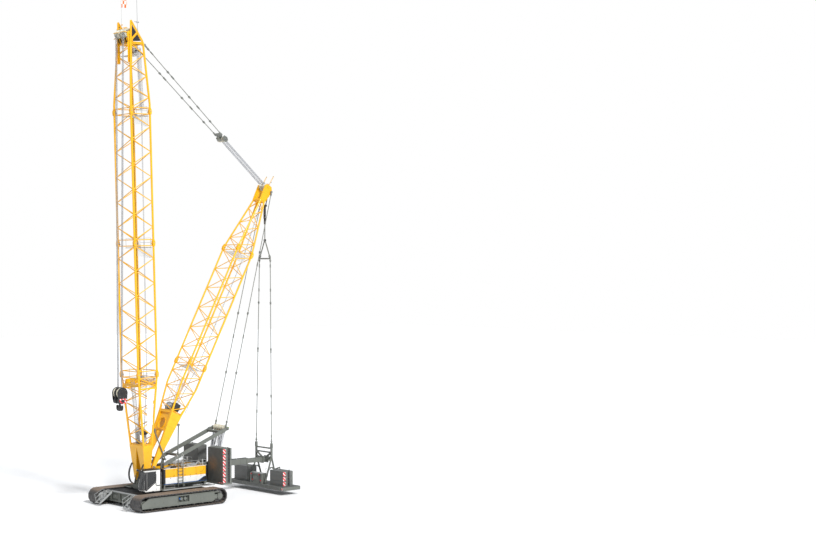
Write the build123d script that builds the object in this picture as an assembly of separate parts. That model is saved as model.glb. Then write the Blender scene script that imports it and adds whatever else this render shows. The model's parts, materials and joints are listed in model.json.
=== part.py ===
"""Crawler crane with a lattice main boom, a derrick boom and a guided derrick ballast.

The model is built at half the real size: 500 mm here is one metre on the machine.
X points forward, Y to the driver's left, Z up. The origin is on the ground under the slewing axis.
Every solid is written to parts/NODE.step.
"""
from build123d import *
from math import atan2, cos, degrees, hypot, pi, radians, sin
import os

# ---------------------------------------------------------------- driving dimensions (mm)
CLEAR = 6                 # free gap beside pieces that move
PIN_PLAY = 1.5            # radial play of a pin in its eye
BRACKET_THICK = 30        # plates that hold the foot pins
TUBE_SETBACK = 10         # the main tubes of a section end this far inside its pin blocks

# crawler tracks
TRACK_LENGTH = 4775       # over the shoes
TRACK_HEIGHT = 722        # over the shoes
TRACK_GAUGE = 3550        # between the centres of the two tracks
SHOE_WIDTH = 750
SHOE_THICK = 48
SHOE_COUNT = 58
SHOE_GAP = 20             # between neighbouring shoes
CHAIN_WIDTH = 330
CHAIN_THICK = 44
ROLLER_RADIUS = 56
ROLLER_COUNT = 8
CHEEK_THICK = 34          # side plates of a track frame
CHEEK_INSET = 42          # from the end of the shoes to the side plate

# car body between the tracks
BODY_TOP = 640
BODY_BOTTOM = 250
BODY_HALF_LENGTH = 1000
DECK_HALF_LENGTH = 1850
DECK_THICK = 14
STAIR_RUN = 620
STAIR_WIDTH = 400
RAIL_RISE = 86            # handrail of the stairs above the deck: it stays under all that slews
RING_RADIUS = 700
RING_HEIGHT = 94

# upper carriage
PLATFORM_BOTTOM = 742
PLATFORM_TOP = 960
PLATFORM_FRONT = 1010
PLATFORM_HALF_WIDTH = 520
TONGUE_REAR = -3150       # rear end of the narrow tail between the counterweights
TONGUE_HALF_WIDTH = 330
HOUSE_FRONT = 175
HOUSE_REAR = -2240
HOUSE_INNER = 400
HOUSE_OUTER = 750
HOUSE_BAND = 1240         # where the white lower panels meet the yellow upper ones
HOUSE_TOP = 1650
HOUSE_WALL = 16
WALKWAY_OUTER = 1230
WALKWAY_THICK = 20
WALKWAY_LOW = PLATFORM_BOTTOM + 4
WALKWAY_REAR = HOUSE_REAR - 120
WALKWAY_ARMS = 4          # brackets under each walkway
WALKWAY_RIM = 56          # height of its outer edge
LADDER_X = (-860, -590)   # its two uprights
LADDER_TOP = 2180
LADDER_RUNGS = 6
LADDER_PITCH = 150
ENGINE_X = (HOUSE_REAR + 340, HOUSE_REAR + 1340)
ENGINE_TOP = 1500
WINCH_PITCH = 650         # three winches in a row behind the house front
WINCH_FIRST = HOUSE_FRONT - 875
WINCH_Z = 1230
WINCH_HALF = 300
WINCH_DRUM = 130
WINCH_FLANGE = 190
ROPE_PULLEY_X = -3010     # where the A-frame's ropes end on the tail

# cab
CAB_REAR = 740
CAB_INNER = 800
CAB_OUTER = 1300
CAB_BOTTOM = 782
CAB_TOP = 1740
CAB_WALL = 30
GLASS = 8
DOOR_REAR = 935
DOOR_FRONT = 1440
DOOR_LOW = 812
DOOR_HIGH = 1690
DOOR_GAP = 6
DOOR_HINGE_OUT = 15       # hinge axis of the door, outside the cab's wall
DOOR_HINGE_RADIUS = 9
DOOR_HINGE_PIN = 4
CAB_HINGE = (775, 815)    # pin about which the cab tilts back
CAB_PIN = 20
DOOR_HINGES = (900, 1560)

# main boom: places along its axis are measured from the foot pivot
BOOM_FOOT_X = 850
BOOM_FOOT_Z = 1200
BOOM_LEAN = 1.8           # degrees forward of upright
BOOM_HALF_WIDTH = 695     # axis to tube centre, sideways
BOOM_HALF_DEPTH = 505     # axis to tube centre, fore and aft
BOOM_FOOT_LENGTH = 4850
BOOM_SECTION = 6000
BOOM_HEAD_TRUSS = 3100
BOOM_HEAD_HALF_WIDTH = 540
BOOM_HEAD_HALF_DEPTH = 335
BOOM_SHEAVE_OUT = 360     # hoist sheave axle ahead of the boom axis
BOOM_SHEAVE_UP = 3540     # and above the lower end of the head
CHORD = 96                # main tube, across the flats
LACE = 42                 # lacing tube
BAY = 560                 # half a zigzag of the main boom
PIVOT_RADIUS = 48
BOOM_LEG = (268, 422)     # inner and outer side of its foot eyes
BOOM_LEG_STRAIGHT = 140   # the legs keep that width up to here, clear of the brackets' heads
BOOM_LEG_TOP = 1500       # where the two legs meet in the foot's box
BOOM_WINCH_UP = 2150
STOP_FOOT = (-50, 2080)   # lower pin of the backstops behind it
STOP_Y = 552
MAST_AT = (42, -598)      # flag mast on the head: ahead of the axis and sideways
MAST_FOOT_UP = 610         # its foot above the head's lattice
MAST_LENGTH = 1730

# derrick boom
DERRICK_FOOT_X = 540
DERRICK_FOOT_Z = 1740
DERRICK_LEAN = -27.3
DERRICK_HALF_WIDTH = 570
DERRICK_HALF_DEPTH = 460
DERRICK_FOOT_LENGTH = 5200
DERRICK_SECTION = 6000
DERRICK_HEAD_TRUSS = 2800
DERRICK_HEAD_HALF_WIDTH = 275
DERRICK_HEAD_HALF_DEPTH = 120
DERRICK_TIP_UP = 750      # head sheave axle above the head's lattice
DERRICK_CHORD = 84
DERRICK_LACE = 38
DERRICK_BAY = 520
DERRICK_PIN = 42
DERRICK_LEG = (372, 468)
DERRICK_LEG_TOP = 2700
DERRICK_WINCH_UP = 3000
DERRICK_PORTHOLE = (2100, 270)   # round opening of the front panel: place along the legs, radius

# stays and ropes
HOIST_FALLS = 4           # rope falls on each side of the hook block
HEAD_PIN = 40             # axle of the head sheaves
SHEAVE_SIDES = 18         # flats round a rope wheel
ROPE_SPREAD = 300         # hook rope falls, axis to bundle
STAY_EYE_X = 950          # eye of the main stays behind the boom head
STAY_EYE_Z = 21100
STAY_EYE_Y = 375
STAY_LENGTH = 6095        # from that eye to the pulley block
YOKE_UP = 330             # the yoke begins this far above the pulley block
A_FRAME_FOOT = (0, 1850)
A_FRAME_HEAD = (-3550, 3250)
A_FRAME_LEG = (500, 600)
A_FRAME_PIN = 34
HOOK_BLOCK_Z = 5220       # centre of the hook block's sheaves

# counterweights and derrick ballast
WEIGHT_FRONT = -2550
WEIGHT_REAR = -3050
WEIGHT_INNER = 400
WEIGHT_OUTER = 1600
WEIGHT_BOTTOM = 830
WEIGHT_SLAB = 270
WEIGHT_SLABS = 6
GUIDE_LOW = 1400
GUIDE_HIGH = 1665
GUIDE_HALF_WIDTH = 125
GUIDE_WALL = 20
GUIDE_X = (-5100, -2480)  # rear and front end of its fixed half
GUIDE_INNER_FRONT = -3600
TRAY_FRONT = -5660
TRAY_REAR = -6690
TRAY_HALF_WIDTH = 2200
TRAY_LOW = 225
TRAY_HIGH = 400
BALLAST_X = -6175         # middle of the hanging ballast
BALLAST_SLAB = 240
BALLAST_SLABS = 3
ROD_APEX = 12250          # top of the triangle between the pull rod and the two long rods
ROD_BASE = 11350
ROD_FOOT = 2290
ROD_ENGAGED = 140         # how far the pull rod reaches into its barrel at rest


# ---------------------------------------------------------------- shapes used all over
def block(x0, x1, y0, y1, z0, z1):
    """A straight block between two corners."""
    return Pos((x0 + x1) / 2, (y0 + y1) / 2, (z0 + z1) / 2) * Box(abs(x1 - x0), abs(y1 - y0), abs(z1 - z0))


def side_plate(points, y0, y1):
    """A plate seen from the side: its outline is in X and Z."""
    face = make_face(Polyline([(x, 0, z) for x, z in points], close=True))
    return Pos(0, y0, 0) * extrude(face, amount=y1 - y0, dir=(0, 1, 0))


def front_plate(points, x0, x1):
    """A plate seen from the front: its outline is in Y and Z."""
    face = make_face(Polyline([(0, y, z) for y, z in points], close=True))
    return Pos(x0, 0, 0) * extrude(face, amount=x1 - x0, dir=(1, 0, 0))


def flat_plate(points, z0, z1):
    """A plate seen from above: its outline is in X and Y."""
    face = make_face(Polyline([(x, y, 0) for x, y in points], close=True))
    return Pos(0, 0, z0) * extrude(face, amount=z1 - z0, dir=(0, 0, 1))


def pin_y(x, z, y0, y1, radius):
    """A round pin across the machine."""
    return Pos(x, (y0 + y1) / 2, z) * Rot(90, 0, 0) * Cylinder(radius, abs(y1 - y0))


def drum_y(x, z, y0, y1, radius, sides=24):
    """A drum, roller or rope wheel across the machine, many-sided to keep its faces few."""
    plane = Plane((x, min(y0, y1), z), x_dir=(1, 0, 0), z_dir=(0, 1, 0))
    return extrude(plane * RegularPolygon(radius, sides), amount=abs(y1 - y0))


def post_z(x, y, z0, z1, radius, sides=12):
    """An upright many-sided post."""
    return Pos(x, y, z0) * extrude(RegularPolygon(radius, sides), amount=z1 - z0)


def disc_z(x, y, z0, z1, radius):
    """An upright round disc or shaft."""
    return Pos(x, y, (z0 + z1) / 2) * Cylinder(radius, z1 - z0)


def bar(start, end, width):
    """A straight square bar."""
    return prism(start, end, RegularPolygon(width / 2, 4, major_radius=False))


def tube(start, end, diameter, sides=4):
    """A straight round tube, drawn with the few flat sides that fit inside its diameter."""
    return prism(start, end, RegularPolygon(diameter / 2, sides))


def prism(start, end, profile):
    a, b = Vector(*start), Vector(*end)
    return extrude(Plane(origin=a, z_dir=(b - a).normalized()) * profile, amount=(b - a).length)


def join(parts):
    """One solid out of parts that overlap."""
    parts = list(parts)
    return parts[0] + parts[1:] if len(parts) > 1 else parts[0]


def group(parts):
    """Solids that share a node without touching."""
    return Compound(children=[p for part in parts for p in part.solids()])


def other_side(shape):
    """The same shape on the other side of the machine."""
    return mirror(shape, about=Plane.XZ)


def both_sides(shape):
    return group([shape, other_side(shape)])


# ---------------------------------------------------------------- lattice booms
def truss(stations, chord, lace, bay, low_rail, high_rail):
    """A lattice section about the Z axis.

    stations: (place along the axis, half width in Y, half depth in X), lowest first.
    Each face carries one zigzag, and opposite faces zigzag in opposite phase.
    """
    def corner(s, sx, sy):
        for (s0, w0, d0), (s1, w1, d1) in zip(stations, stations[1:]):
            if s <= s1 or s1 == stations[-1][0]:
                t = (s - s0) / (s1 - s0)
                return (sx * (d0 + t * (d1 - d0)), sy * (w0 + t * (w1 - w0)), s)

    corners = [(1, 1), (1, -1), (-1, -1), (-1, 1)]
    bars = []
    first, last = stations[0][0], stations[-1][0]
    for (s0, _, _), (s1, _, _) in zip(stations, stations[1:]):
        low = s0 + TUBE_SETBACK * (s0 == first)
        high = s1 - TUBE_SETBACK * (s1 == last)
        bars += [tube(corner(low, *c), corner(high, *c), chord, 8) for c in corners]
    rails = [first + low_rail, last - high_rail]
    count = max(2, round((rails[1] - rails[0]) / bay))
    step = (rails[1] - rails[0]) / count
    for face, (a, b) in enumerate(zip(corners, corners[1:] + corners[:1])):
        if face >= 2:
            a, b = b, a               # opposite faces start from the same tube's far side
        flip = face % 2
        for k in range(count):
            ends = (a, b) if (k + flip) % 2 == 0 else (b, a)
            if face >= 2:
                ends = ends[::-1]
            s = rails[0] + k * step
            bars.append(tube(corner(s, *ends[0]), corner(s + step, *ends[1]), lace))
        bars += [tube(corner(s, *a), corner(s, *b), lace) for s in rails]
    return join(bars)


def end_blocks(s, half_width, half_depth, size, up):
    """The pin blocks with which two sections meet, one on each main tube."""
    s0, s1 = (s, s + 90) if up else (s - 90, s)
    return [block(sx * half_depth - size / 2, sx * half_depth + size / 2,
                  sy * half_width - size / 2, sy * half_width + size / 2, s0, s1)
            for sx in (1, -1) for sy in (1, -1)]


def section(s0, s1, half_width, half_depth, chord, lace, bay):
    """A straight section between two joints."""
    ends = [(s0, half_width, half_depth), (s1, half_width, half_depth)]
    blocks = end_blocks(s0, half_width, half_depth, chord * 1.25, True)
    blocks += end_blocks(s1, half_width, half_depth, chord * 1.25, False)
    return join([truss(ends, chord, lace, bay, 150, 130)] + blocks)


MAIN = Location((BOOM_FOOT_X, 0, BOOM_FOOT_Z), (0, BOOM_LEAN, 0))
DERRICK = Location((DERRICK_FOOT_X, 0, DERRICK_FOOT_Z), (0, DERRICK_LEAN, 0))


def on_boom(x, s):
    """Where a point of the main boom, x ahead of its axis and s up it, is in the crane's frame."""
    a = radians(BOOM_LEAN)
    return BOOM_FOOT_X + x * cos(a) + s * sin(a), BOOM_FOOT_Z - x * sin(a) + s * cos(a)


def on_derrick(x, s):
    a = radians(DERRICK_LEAN)
    return DERRICK_FOOT_X + x * cos(a) + s * sin(a), DERRICK_FOOT_Z - x * sin(a) + s * cos(a)


def local_to(foot_x, foot_z, lean, x, z):
    """A place in the crane's frame as (ahead of a boom's axis, along it)."""
    a = radians(lean)
    dx, dz = x - foot_x, z - foot_z
    return dx * cos(a) - dz * sin(a), dx * sin(a) + dz * cos(a)


# ---------------------------------------------------------------- undercarriage
TRACK_R = TRACK_HEIGHT / 2
AXLE_X = TRACK_LENGTH / 2 - TRACK_R
CHAIN_OUT = TRACK_R - SHOE_THICK + 6       # the chain reaches 6 mm into the shoes that it carries
CHAIN_IN = CHAIN_OUT - CHAIN_THICK
WHEEL_R = CHAIN_IN - 1
TRACK_Y = TRACK_GAUGE / 2
CHEEK_Y = TRACK_Y + SHOE_WIDTH / 2 - CHEEK_INSET
FRAME_LOW = TRACK_R - CHAIN_IN + 2 * ROLLER_RADIUS + 8
FRAME_HIGH = TRACK_R + CHAIN_IN - 36


def stadium(radius, y0, y1):
    """The closed path of a track, as a solid of this radius about both axles."""
    ends = [pin_y(sx * AXLE_X, TRACK_R, y0, y1, radius) for sx in (1, -1)]
    return join([block(-AXLE_X, AXLE_X, y0, y1, TRACK_R - radius, TRACK_R + radius)] + ends)


def track_loop():
    """The chain with all its shoes, as one closed loop."""
    y0, y1 = TRACK_Y - CHAIN_WIDTH / 2, TRACK_Y + CHAIN_WIDTH / 2
    chain = stadium(CHAIN_OUT, y0, y1) - stadium(CHAIN_IN, y0 - 1, y1 + 1)
    seat = TRACK_R - SHOE_THICK
    straight, arc = 2 * AXLE_X, pi * seat
    pitch = 2 * (straight + arc) / SHOE_COUNT
    length = pitch - SHOE_GAP
    shoe = Box(length, SHOE_WIDTH, SHOE_THICK)
    flat = seat + SHOE_THICK / 2
    bent = (TRACK_R ** 2 - (length / 2) ** 2) ** 0.5 - SHOE_THICK / 2     # the corners reach TRACK_R
    shoes = []
    for k in range(SHOE_COUNT):
        along = (k + 0.5) * pitch
        if along < straight:
            place = Pos(-AXLE_X + along, TRACK_Y, TRACK_R - flat)
        elif along < straight + arc:
            turn = (along - straight) / seat
            place = Pos(AXLE_X, TRACK_Y, TRACK_R) * Rot(0, -degrees(turn), 0) * Pos(0, 0, -bent)
        elif along < 2 * straight + arc:
            place = Pos(AXLE_X - (along - straight - arc), TRACK_Y, TRACK_R + flat)
        else:
            turn = (along - 2 * straight - arc) / seat
            place = Pos(-AXLE_X, TRACK_Y, TRACK_R) * Rot(0, -degrees(turn), 0) * Pos(0, 0, bent)
        shoes.append(place * shoe)
    return join([chain] + shoes)


def track_wheels():
    """Drive sprocket in front, idler behind, and the rollers that the chassis runs on."""
    half = CHAIN_WIDTH / 2 - 20
    sprocket = drum_y(AXLE_X, TRACK_R, TRACK_Y - half, TRACK_Y + half, WHEEL_R)
    drive = drum_y(AXLE_X, TRACK_R, TRACK_Y + half - 1, CHEEK_Y - CHEEK_THICK - 1, 150, 16)
    idler = drum_y(-AXLE_X, TRACK_R, TRACK_Y - half, TRACK_Y + half, WHEEL_R)
    hub = drum_y(-AXLE_X, TRACK_R, TRACK_Y + half - 1, CHEEK_Y + 12, 142)
    rollers = []
    span = 2 * (AXLE_X - WHEEL_R) - 300
    for k in range(ROLLER_COUNT):
        x = -span / 2 + k * span / (ROLLER_COUNT - 1)
        rollers.append(drum_y(x, TRACK_R - CHAIN_IN + ROLLER_RADIUS + 1, TRACK_Y - CHAIN_WIDTH / 2 + 12,
                              TRACK_Y + CHAIN_WIDTH / 2 - 12, ROLLER_RADIUS, 12))
    return group([join([sprocket, drive]), join([idler, hub])] + rollers)


def track_frame():
    """The side frame: a box beam between two side plates, with the tension yoke of the idler."""
    inner_y = 2 * TRACK_Y - CHEEK_Y
    box_end = AXLE_X - WHEEL_R - 40
    beam = block(-box_end, box_end, inner_y + 4, CHEEK_Y - 4, FRAME_LOW, FRAME_HIGH)
    low, high = TRACK_R - 195, TRACK_R + 255
    outline = [(-box_end + 60, low), (AXLE_X + 190, low), (AXLE_X + 225, TRACK_R + 20),
               (AXLE_X - 190, high), (-box_end + 60, high)]
    cheeks = [side_plate(outline, y, y + CHEEK_THICK) for y in (inner_y, CHEEK_Y - CHEEK_THICK)]
    skid = block(-box_end + 200, box_end - 200, TRACK_Y - 90, TRACK_Y + 90, FRAME_HIGH - 1, FRAME_HIGH + 34)
    yoke_outline = [(-box_end + 80, TRACK_R - 110), (-box_end + 80, TRACK_R + 110),
                    (-AXLE_X + 170, TRACK_R + 95), (-AXLE_X + 170, TRACK_R - 95)]
    yokes = [side_plate(yoke_outline, y, y + CHEEK_THICK)
             for y in (inner_y + 8, CHEEK_Y - CHEEK_THICK - 8)]
    window = block(-300, 300, CHEEK_Y - 130, CHEEK_Y + 1, TRACK_R - 60, TRACK_R + 215)
    frame = join([beam, skid] + cheeks + yokes) - window
    pins = [drum_y(x, TRACK_R + 75, CHEEK_Y - 131, CHEEK_Y - 30, 70, 16) for x in (-110, 90)]
    return join([frame] + pins)


def car_body():
    """H-shaped chassis: a centre box, two cross beams and the end boxes under the decks."""
    inner_y = 2 * TRACK_Y - CHEEK_Y
    centre = block(-BODY_HALF_LENGTH, BODY_HALF_LENGTH, -900, 900, BODY_BOTTOM, BODY_TOP)
    beams = [block(sx * 420, sx * 980, -inner_y, inner_y, BODY_BOTTOM + 50, BODY_TOP - 60) for sx in (1, -1)]
    end_x = DECK_HALF_LENGTH - 10
    ends = [block(sx * (BODY_HALF_LENGTH - 1), sx * end_x, -1180, 1180, 190, BODY_TOP) for sx in (1, -1)]
    recesses = [block(sx * (end_x - 45), sx * (end_x + 1), y - 290, y + 290, 260, BODY_TOP - 70)
                for sx in (1, -1) for y in (-740, 0, 740)]
    body = join([centre] + beams + ends) - recesses
    return body - disc_z(0, 0, BODY_BOTTOM - 1, BODY_TOP + 1, 300)


def decks():
    """Walk-on plates over the car body, open round the slewing ring, with a raised front edge."""
    edge = TRACK_Y - SHOE_WIDTH / 2 - 2 * CLEAR
    plate = block(-DECK_HALF_LENGTH, DECK_HALF_LENGTH, -edge, edge, BODY_TOP, BODY_TOP + DECK_THICK)
    plate -= disc_z(0, 0, BODY_TOP - 1, BODY_TOP + DECK_THICK + 1, RING_RADIUS + 20)
    kerbs = [block(sx * (DECK_HALF_LENGTH - 20), sx * DECK_HALF_LENGTH, -edge, edge,
                   BODY_TOP + DECK_THICK - 1, BODY_TOP + DECK_THICK + 26) for sx in (1, -1)]
    return join([plate] + kerbs)


def stairs():
    """A flight of steps with two handrails, hooked on the front edge of the deck."""
    y_mid = 1160
    top, low = BODY_TOP - 10, 120
    x0 = DECK_HALF_LENGTH + 2
    parts = []
    for dy in (-STAIR_WIDTH / 2, STAIR_WIDTH / 2 - 16):
        y = y_mid + dy
        parts.append(side_plate([(x0, top - 90), (x0, top), (x0 + 60, top), (x0 + STAIR_RUN + 40, low + 30),
                                 (x0 + STAIR_RUN + 40, low), (x0 + STAIR_RUN - 20, low)], y, y + 16))
        foot, head = (x0 + STAIR_RUN - 10, y + 8, low + 40), (x0 + STAIR_RUN + 60, y + 8, low + 400)
        knee, back = (x0 + 260, y + 8, top + RAIL_RISE), (x0 + 30, y + 8, top - 40)
        for a, b in ((foot, head), (head, knee), (knee, back)):
            parts.append(bar(a, b, 20))
    for k in range(5):
        x = x0 + 70 + k * (STAIR_RUN - 60) / 4
        z = top - 60 - k * (top - low - 90) / 4
        half = STAIR_WIDTH / 2 - 8
        parts.append(block(x - 45, x + 45, y_mid - half, y_mid + half, z - 8, z + 8))
    return join(parts)


def slew_ring():
    top = BODY_TOP + RING_HEIGHT
    return disc_z(0, 0, BODY_TOP, top, RING_RADIUS) - disc_z(0, 0, BODY_TOP - 1, top + 1, RING_RADIUS - 130)


# ---------------------------------------------------------------- upper carriage
def foot_bracket(x, z, front, rear, radius, y0, y1):
    """An upright plate that holds a foot pin: it narrows towards a head with cut corners."""
    base = PLATFORM_TOP - 1
    return side_plate([(x + rear, base), (x + front, base), (x + radius, z), (x + radius / 2, z + radius),
                       (x - radius / 2, z + radius), (x - radius, z)], y0, y1)


def slewing_platform():
    """The main frame of the upper carriage, with the brackets of both booms and of the A-frame."""
    deck = block(HOUSE_REAR - 110, PLATFORM_FRONT, -PLATFORM_HALF_WIDTH, PLATFORM_HALF_WIDTH,
                 PLATFORM_BOTTOM, PLATFORM_TOP)
    tongue = block(TONGUE_REAR, HOUSE_REAR, -TONGUE_HALF_WIDTH, TONGUE_HALF_WIDTH,
                   PLATFORM_BOTTOM, PLATFORM_TOP)
    parts = [deck, tongue]
    for sy in (1, -1):
        for (x, z), leg, pin, radius, front, rear in (
                ((BOOM_FOOT_X, BOOM_FOOT_Z), BOOM_LEG, PIVOT_RADIUS, 95, 150, -150),
                ((DERRICK_FOOT_X, DERRICK_FOOT_Z), DERRICK_LEG, DERRICK_PIN, 75, 60, -330)):
            for y in (leg[0] - CLEAR - BRACKET_THICK, leg[1] + CLEAR):
                parts.append(foot_bracket(x, z, front, rear, radius, sy * y, sy * (y + BRACKET_THICK)))
            parts.append(drum_y(x, z, sy * (leg[0] - 60), sy * (leg[1] + 60), pin, 12))
        x, z = A_FRAME_FOOT
        web = [(x - 180, PLATFORM_TOP - 1), (x + 150, PLATFORM_TOP - 1), (x + 70, z),
               (STOP_FOOT[0] + 50, STOP_FOOT[1] + 40), (STOP_FOOT[0] - 50, STOP_FOOT[1] + 40), (x - 70, z)]
        parts.append(side_plate(web, sy * 330, sy * 395))
        parts.append(drum_y(*A_FRAME_FOOT, sy * 340, sy * (A_FRAME_LEG[1] + 24), A_FRAME_PIN, 12))
        parts += backstop(sy)
        x = ROPE_PULLEY_X
        parts.append(drum_y(x, PLATFORM_TOP + 75, sy * 160, sy * 300, 70, 12))
        parts.append(block(x - 50, x + 50, sy * 160, sy * 300, PLATFORM_TOP - 1, PLATFORM_TOP + 60))
        parts.append(block(HOUSE_REAR, HOUSE_FRONT, sy * (PLATFORM_HALF_WIDTH - 1), sy * HOUSE_OUTER,
                           PLATFORM_TOP - 60, PLATFORM_TOP))
        for x in (HOUSE_REAR + 60, (HOUSE_REAR + HOUSE_FRONT) / 2, HOUSE_FRONT - 120):
            parts.append(block(x, x + 60, sy * (PLATFORM_HALF_WIDTH - 1), sy * (HOUSE_OUTER - 40),
                               PLATFORM_BOTTOM + 40, PLATFORM_TOP - 59))
    x, z = CAB_HINGE
    parts.append(block(x - 60, x + 160, PLATFORM_HALF_WIDTH - 1, CAB_INNER - 2 * CLEAR, z - 45, z + 75))
    parts.append(drum_y(x, z, CAB_INNER - 30, CAB_INNER + CAB_WALL - 2, CAB_PIN, 16))
    return join(parts)


def backstop(sy):
    """One of the two struts that the main boom meets if it swings back too far."""
    top = on_boom(-300, 2405)
    tip = (top[0] - 62, top[1] - 150)
    y = sy * STOP_Y
    x, z = STOP_FOOT
    return [tube((x, y, z), (tip[0], y, tip[1]), 60, 8),
            tube((x, sy * 340, z), (x, sy * (STOP_Y + 34), z), 84, 8),
            block(tip[0] - 60, tip[0], y - 45, y + 45, tip[1] - 60, tip[1] + 60)]


def house_shell(low, high):
    """One band of the left machinery house, a thin box open below and where the next band stands."""
    outer = block(HOUSE_REAR, HOUSE_FRONT, HOUSE_INNER + 8, HOUSE_OUTER, low, high)
    closed = high == HOUSE_TOP
    inner = block(HOUSE_REAR + HOUSE_WALL, HOUSE_FRONT - HOUSE_WALL, HOUSE_INNER + 8 + HOUSE_WALL,
                  HOUSE_OUTER - HOUSE_WALL, low - 1, high - HOUSE_WALL if closed else high + 1)
    shell = outer - inner
    if closed:
        return fillet(shell.edges().filter_by(Axis.X).group_by(Axis.Z)[-1].sort_by(Axis.Y)[-1:], 30)
    arch = drum_y(HOUSE_REAR - 40, low - 40, HOUSE_INNER, HOUSE_OUTER + 1, 420, 32)
    return shell - (arch & block(HOUSE_REAR - 1, HOUSE_FRONT, HOUSE_INNER + 60, HOUSE_OUTER + 1,
                                 low - 1, high - 90))


def walkway(front, rear):
    """The left fold-down walkway with its brackets."""
    low = WALKWAY_LOW
    plate = block(rear, front, HOUSE_OUTER + 10, WALKWAY_OUTER, low, low + WALKWAY_THICK)
    rim = block(rear, front, WALKWAY_OUTER - 12, WALKWAY_OUTER, low, low + WALKWAY_RIM)
    first, pitch = rear + 200, (front - rear - 400) / (WALKWAY_ARMS - 1)
    arms = [block(first + k * pitch - 25, first + k * pitch + 25, PLATFORM_HALF_WIDTH, HOUSE_OUTER + 30,
                  low, low + 4) for k in range(WALKWAY_ARMS)]
    return join([plate, rim] + arms)


def ladder():
    """The upright ladder on the left side of the house, standing above its roof."""
    y, low = HOUSE_OUTER + 60, WALKWAY_LOW + WALKWAY_THICK
    x0, x1 = LADDER_X
    rails = [block(x - 14, x + 14, y - 14, y + 14, low, LADDER_TOP) for x in LADDER_X]
    rungs = [block(x0, x1, y - 9, y + 9, z - 9, z + 9)
             for z in [low + 140 + k * LADDER_PITCH for k in range(LADDER_RUNGS)]]
    ties = [block(x - 8, x + 8, HOUSE_OUTER, y, HOUSE_TOP - 130, HOUSE_TOP - 110) for x in LADDER_X]
    return join(rails + rungs + ties)


def winch(x, z, half_length, drum_radius, flange_radius, foot_z):
    """A rope drum between two flanges, on a foot at either end."""
    parts = [drum_y(x, z, -half_length, half_length, drum_radius, 16)]
    for sy in (1, -1):
        parts.append(drum_y(x, z, sy * half_length, sy * (half_length - 24), flange_radius, 20))
        parts.append(block(x - flange_radius * 0.7, x + flange_radius * 0.7, sy * (half_length - 1),
                           sy * (half_length + 26), foot_z, z + 40))
    return join(parts)


def counterweight():
    """The left stack of slabs, with the slot and lugs of its lifting chain on the outer side."""
    top = WEIGHT_BOTTOM + WEIGHT_SLAB * WEIGHT_SLABS
    stack = block(WEIGHT_REAR, WEIGHT_FRONT, WEIGHT_INNER, WEIGHT_OUTER, WEIGHT_BOTTOM, top)
    slot_x = (WEIGHT_FRONT + 2 * WEIGHT_REAR) / 3
    stack -= block(slot_x - 65, slot_x + 65, WEIGHT_OUTER - 70, WEIGHT_OUTER + 1, WEIGHT_BOTTOM - 1, top + 1)
    for k in range(1, WEIGHT_SLABS):
        z = WEIGHT_BOTTOM + k * WEIGHT_SLAB
        groove = block(WEIGHT_REAR - 1, WEIGHT_FRONT + 1, WEIGHT_INNER - 1, WEIGHT_OUTER + 1, z - 4, z + 4)
        core = block(WEIGHT_REAR + 14, WEIGHT_FRONT - 14, WEIGHT_INNER + 14, WEIGHT_OUTER - 84, z - 5, z + 5)
        stack -= groove - core
    heights = [WEIGHT_BOTTOM + (k + 0.5) * WEIGHT_SLAB for k in range(WEIGHT_SLABS)]
    lugs = [block(slot_x - 30, slot_x + 30, WEIGHT_OUTER - 71, WEIGHT_OUTER - 20, z - 45, z + 45)
            for z in heights]
    return join([stack] + lugs)


def weight_carrier():
    """The cross arms that carry both stacks, either side of the tongue."""
    arm = block(WEIGHT_REAR - 20, WEIGHT_FRONT + 20, TONGUE_HALF_WIDTH, WEIGHT_OUTER,
                WEIGHT_BOTTOM - 70, WEIGHT_BOTTOM)
    rib = block(WEIGHT_REAR + 100, WEIGHT_FRONT - 100, TONGUE_HALF_WIDTH, WEIGHT_OUTER - 200,
                PLATFORM_BOTTOM, WEIGHT_BOTTOM - 69)
    return both_sides(join([arm, rib]))


def guide_outer():
    """The fixed half of the telescopic beam that guides the derrick ballast, on its bracket."""
    x0, x1 = GUIDE_X
    half, low, high, wall = GUIDE_HALF_WIDTH, GUIDE_LOW, GUIDE_HIGH, GUIDE_WALL
    beam = block(x0, x1, -half, half, low, high)
    beam -= block(x0 - 1, x1 - 60, -half + wall, half - wall, low + wall, high - wall)
    collar = block(x0, x0 + 70, -half - 22, half + 22, low - 22, high + 22)
    collar -= block(x0 - 1, x0 + 71, -half + 1, half - 1, low + 1, high - 1)
    outline = [(x1 + 60, PLATFORM_TOP), (x1, high), (x1 - 220, high), (x1 - 580, low + 40),
               (x1 - 420, PLATFORM_TOP)]
    webs = [side_plate(outline, y, y + 22) for y in (-half - 22, half)]
    return join([beam, collar] + webs)


# ---------------------------------------------------------------- cab
CAB_OUTLINE = [(CAB_REAR, CAB_BOTTOM), (1490, CAB_BOTTOM), (1600, 880), (1535, CAB_TOP), (CAB_REAR, CAB_TOP)]
SCREEN_LOW, SCREEN_HIGH = 930, 1665


def screen_x(z):
    """The front face of the cab at this height."""
    return 1600 + (1535 - 1600) * (z - 880) / (CAB_TOP - 880)


def inset(points, by):
    """The same outline moved inwards."""
    face = offset(make_face(Polyline([(x, 0, z) for x, z in points], close=True)), -by)
    return Pos(0, CAB_INNER + by, 0) * extrude(face, amount=CAB_OUTER - CAB_INNER - 2 * by, dir=(0, 1, 0))


def screen_slab(depth0, depth1, low, high, y0, y1):
    """A slab that lies along the raked front face, between two depths behind it."""
    return side_plate([(screen_x(low) - depth0, low), (screen_x(high) - depth0, high),
                       (screen_x(high) - depth1, high), (screen_x(low) - depth1, low)], y0, y1)


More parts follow.
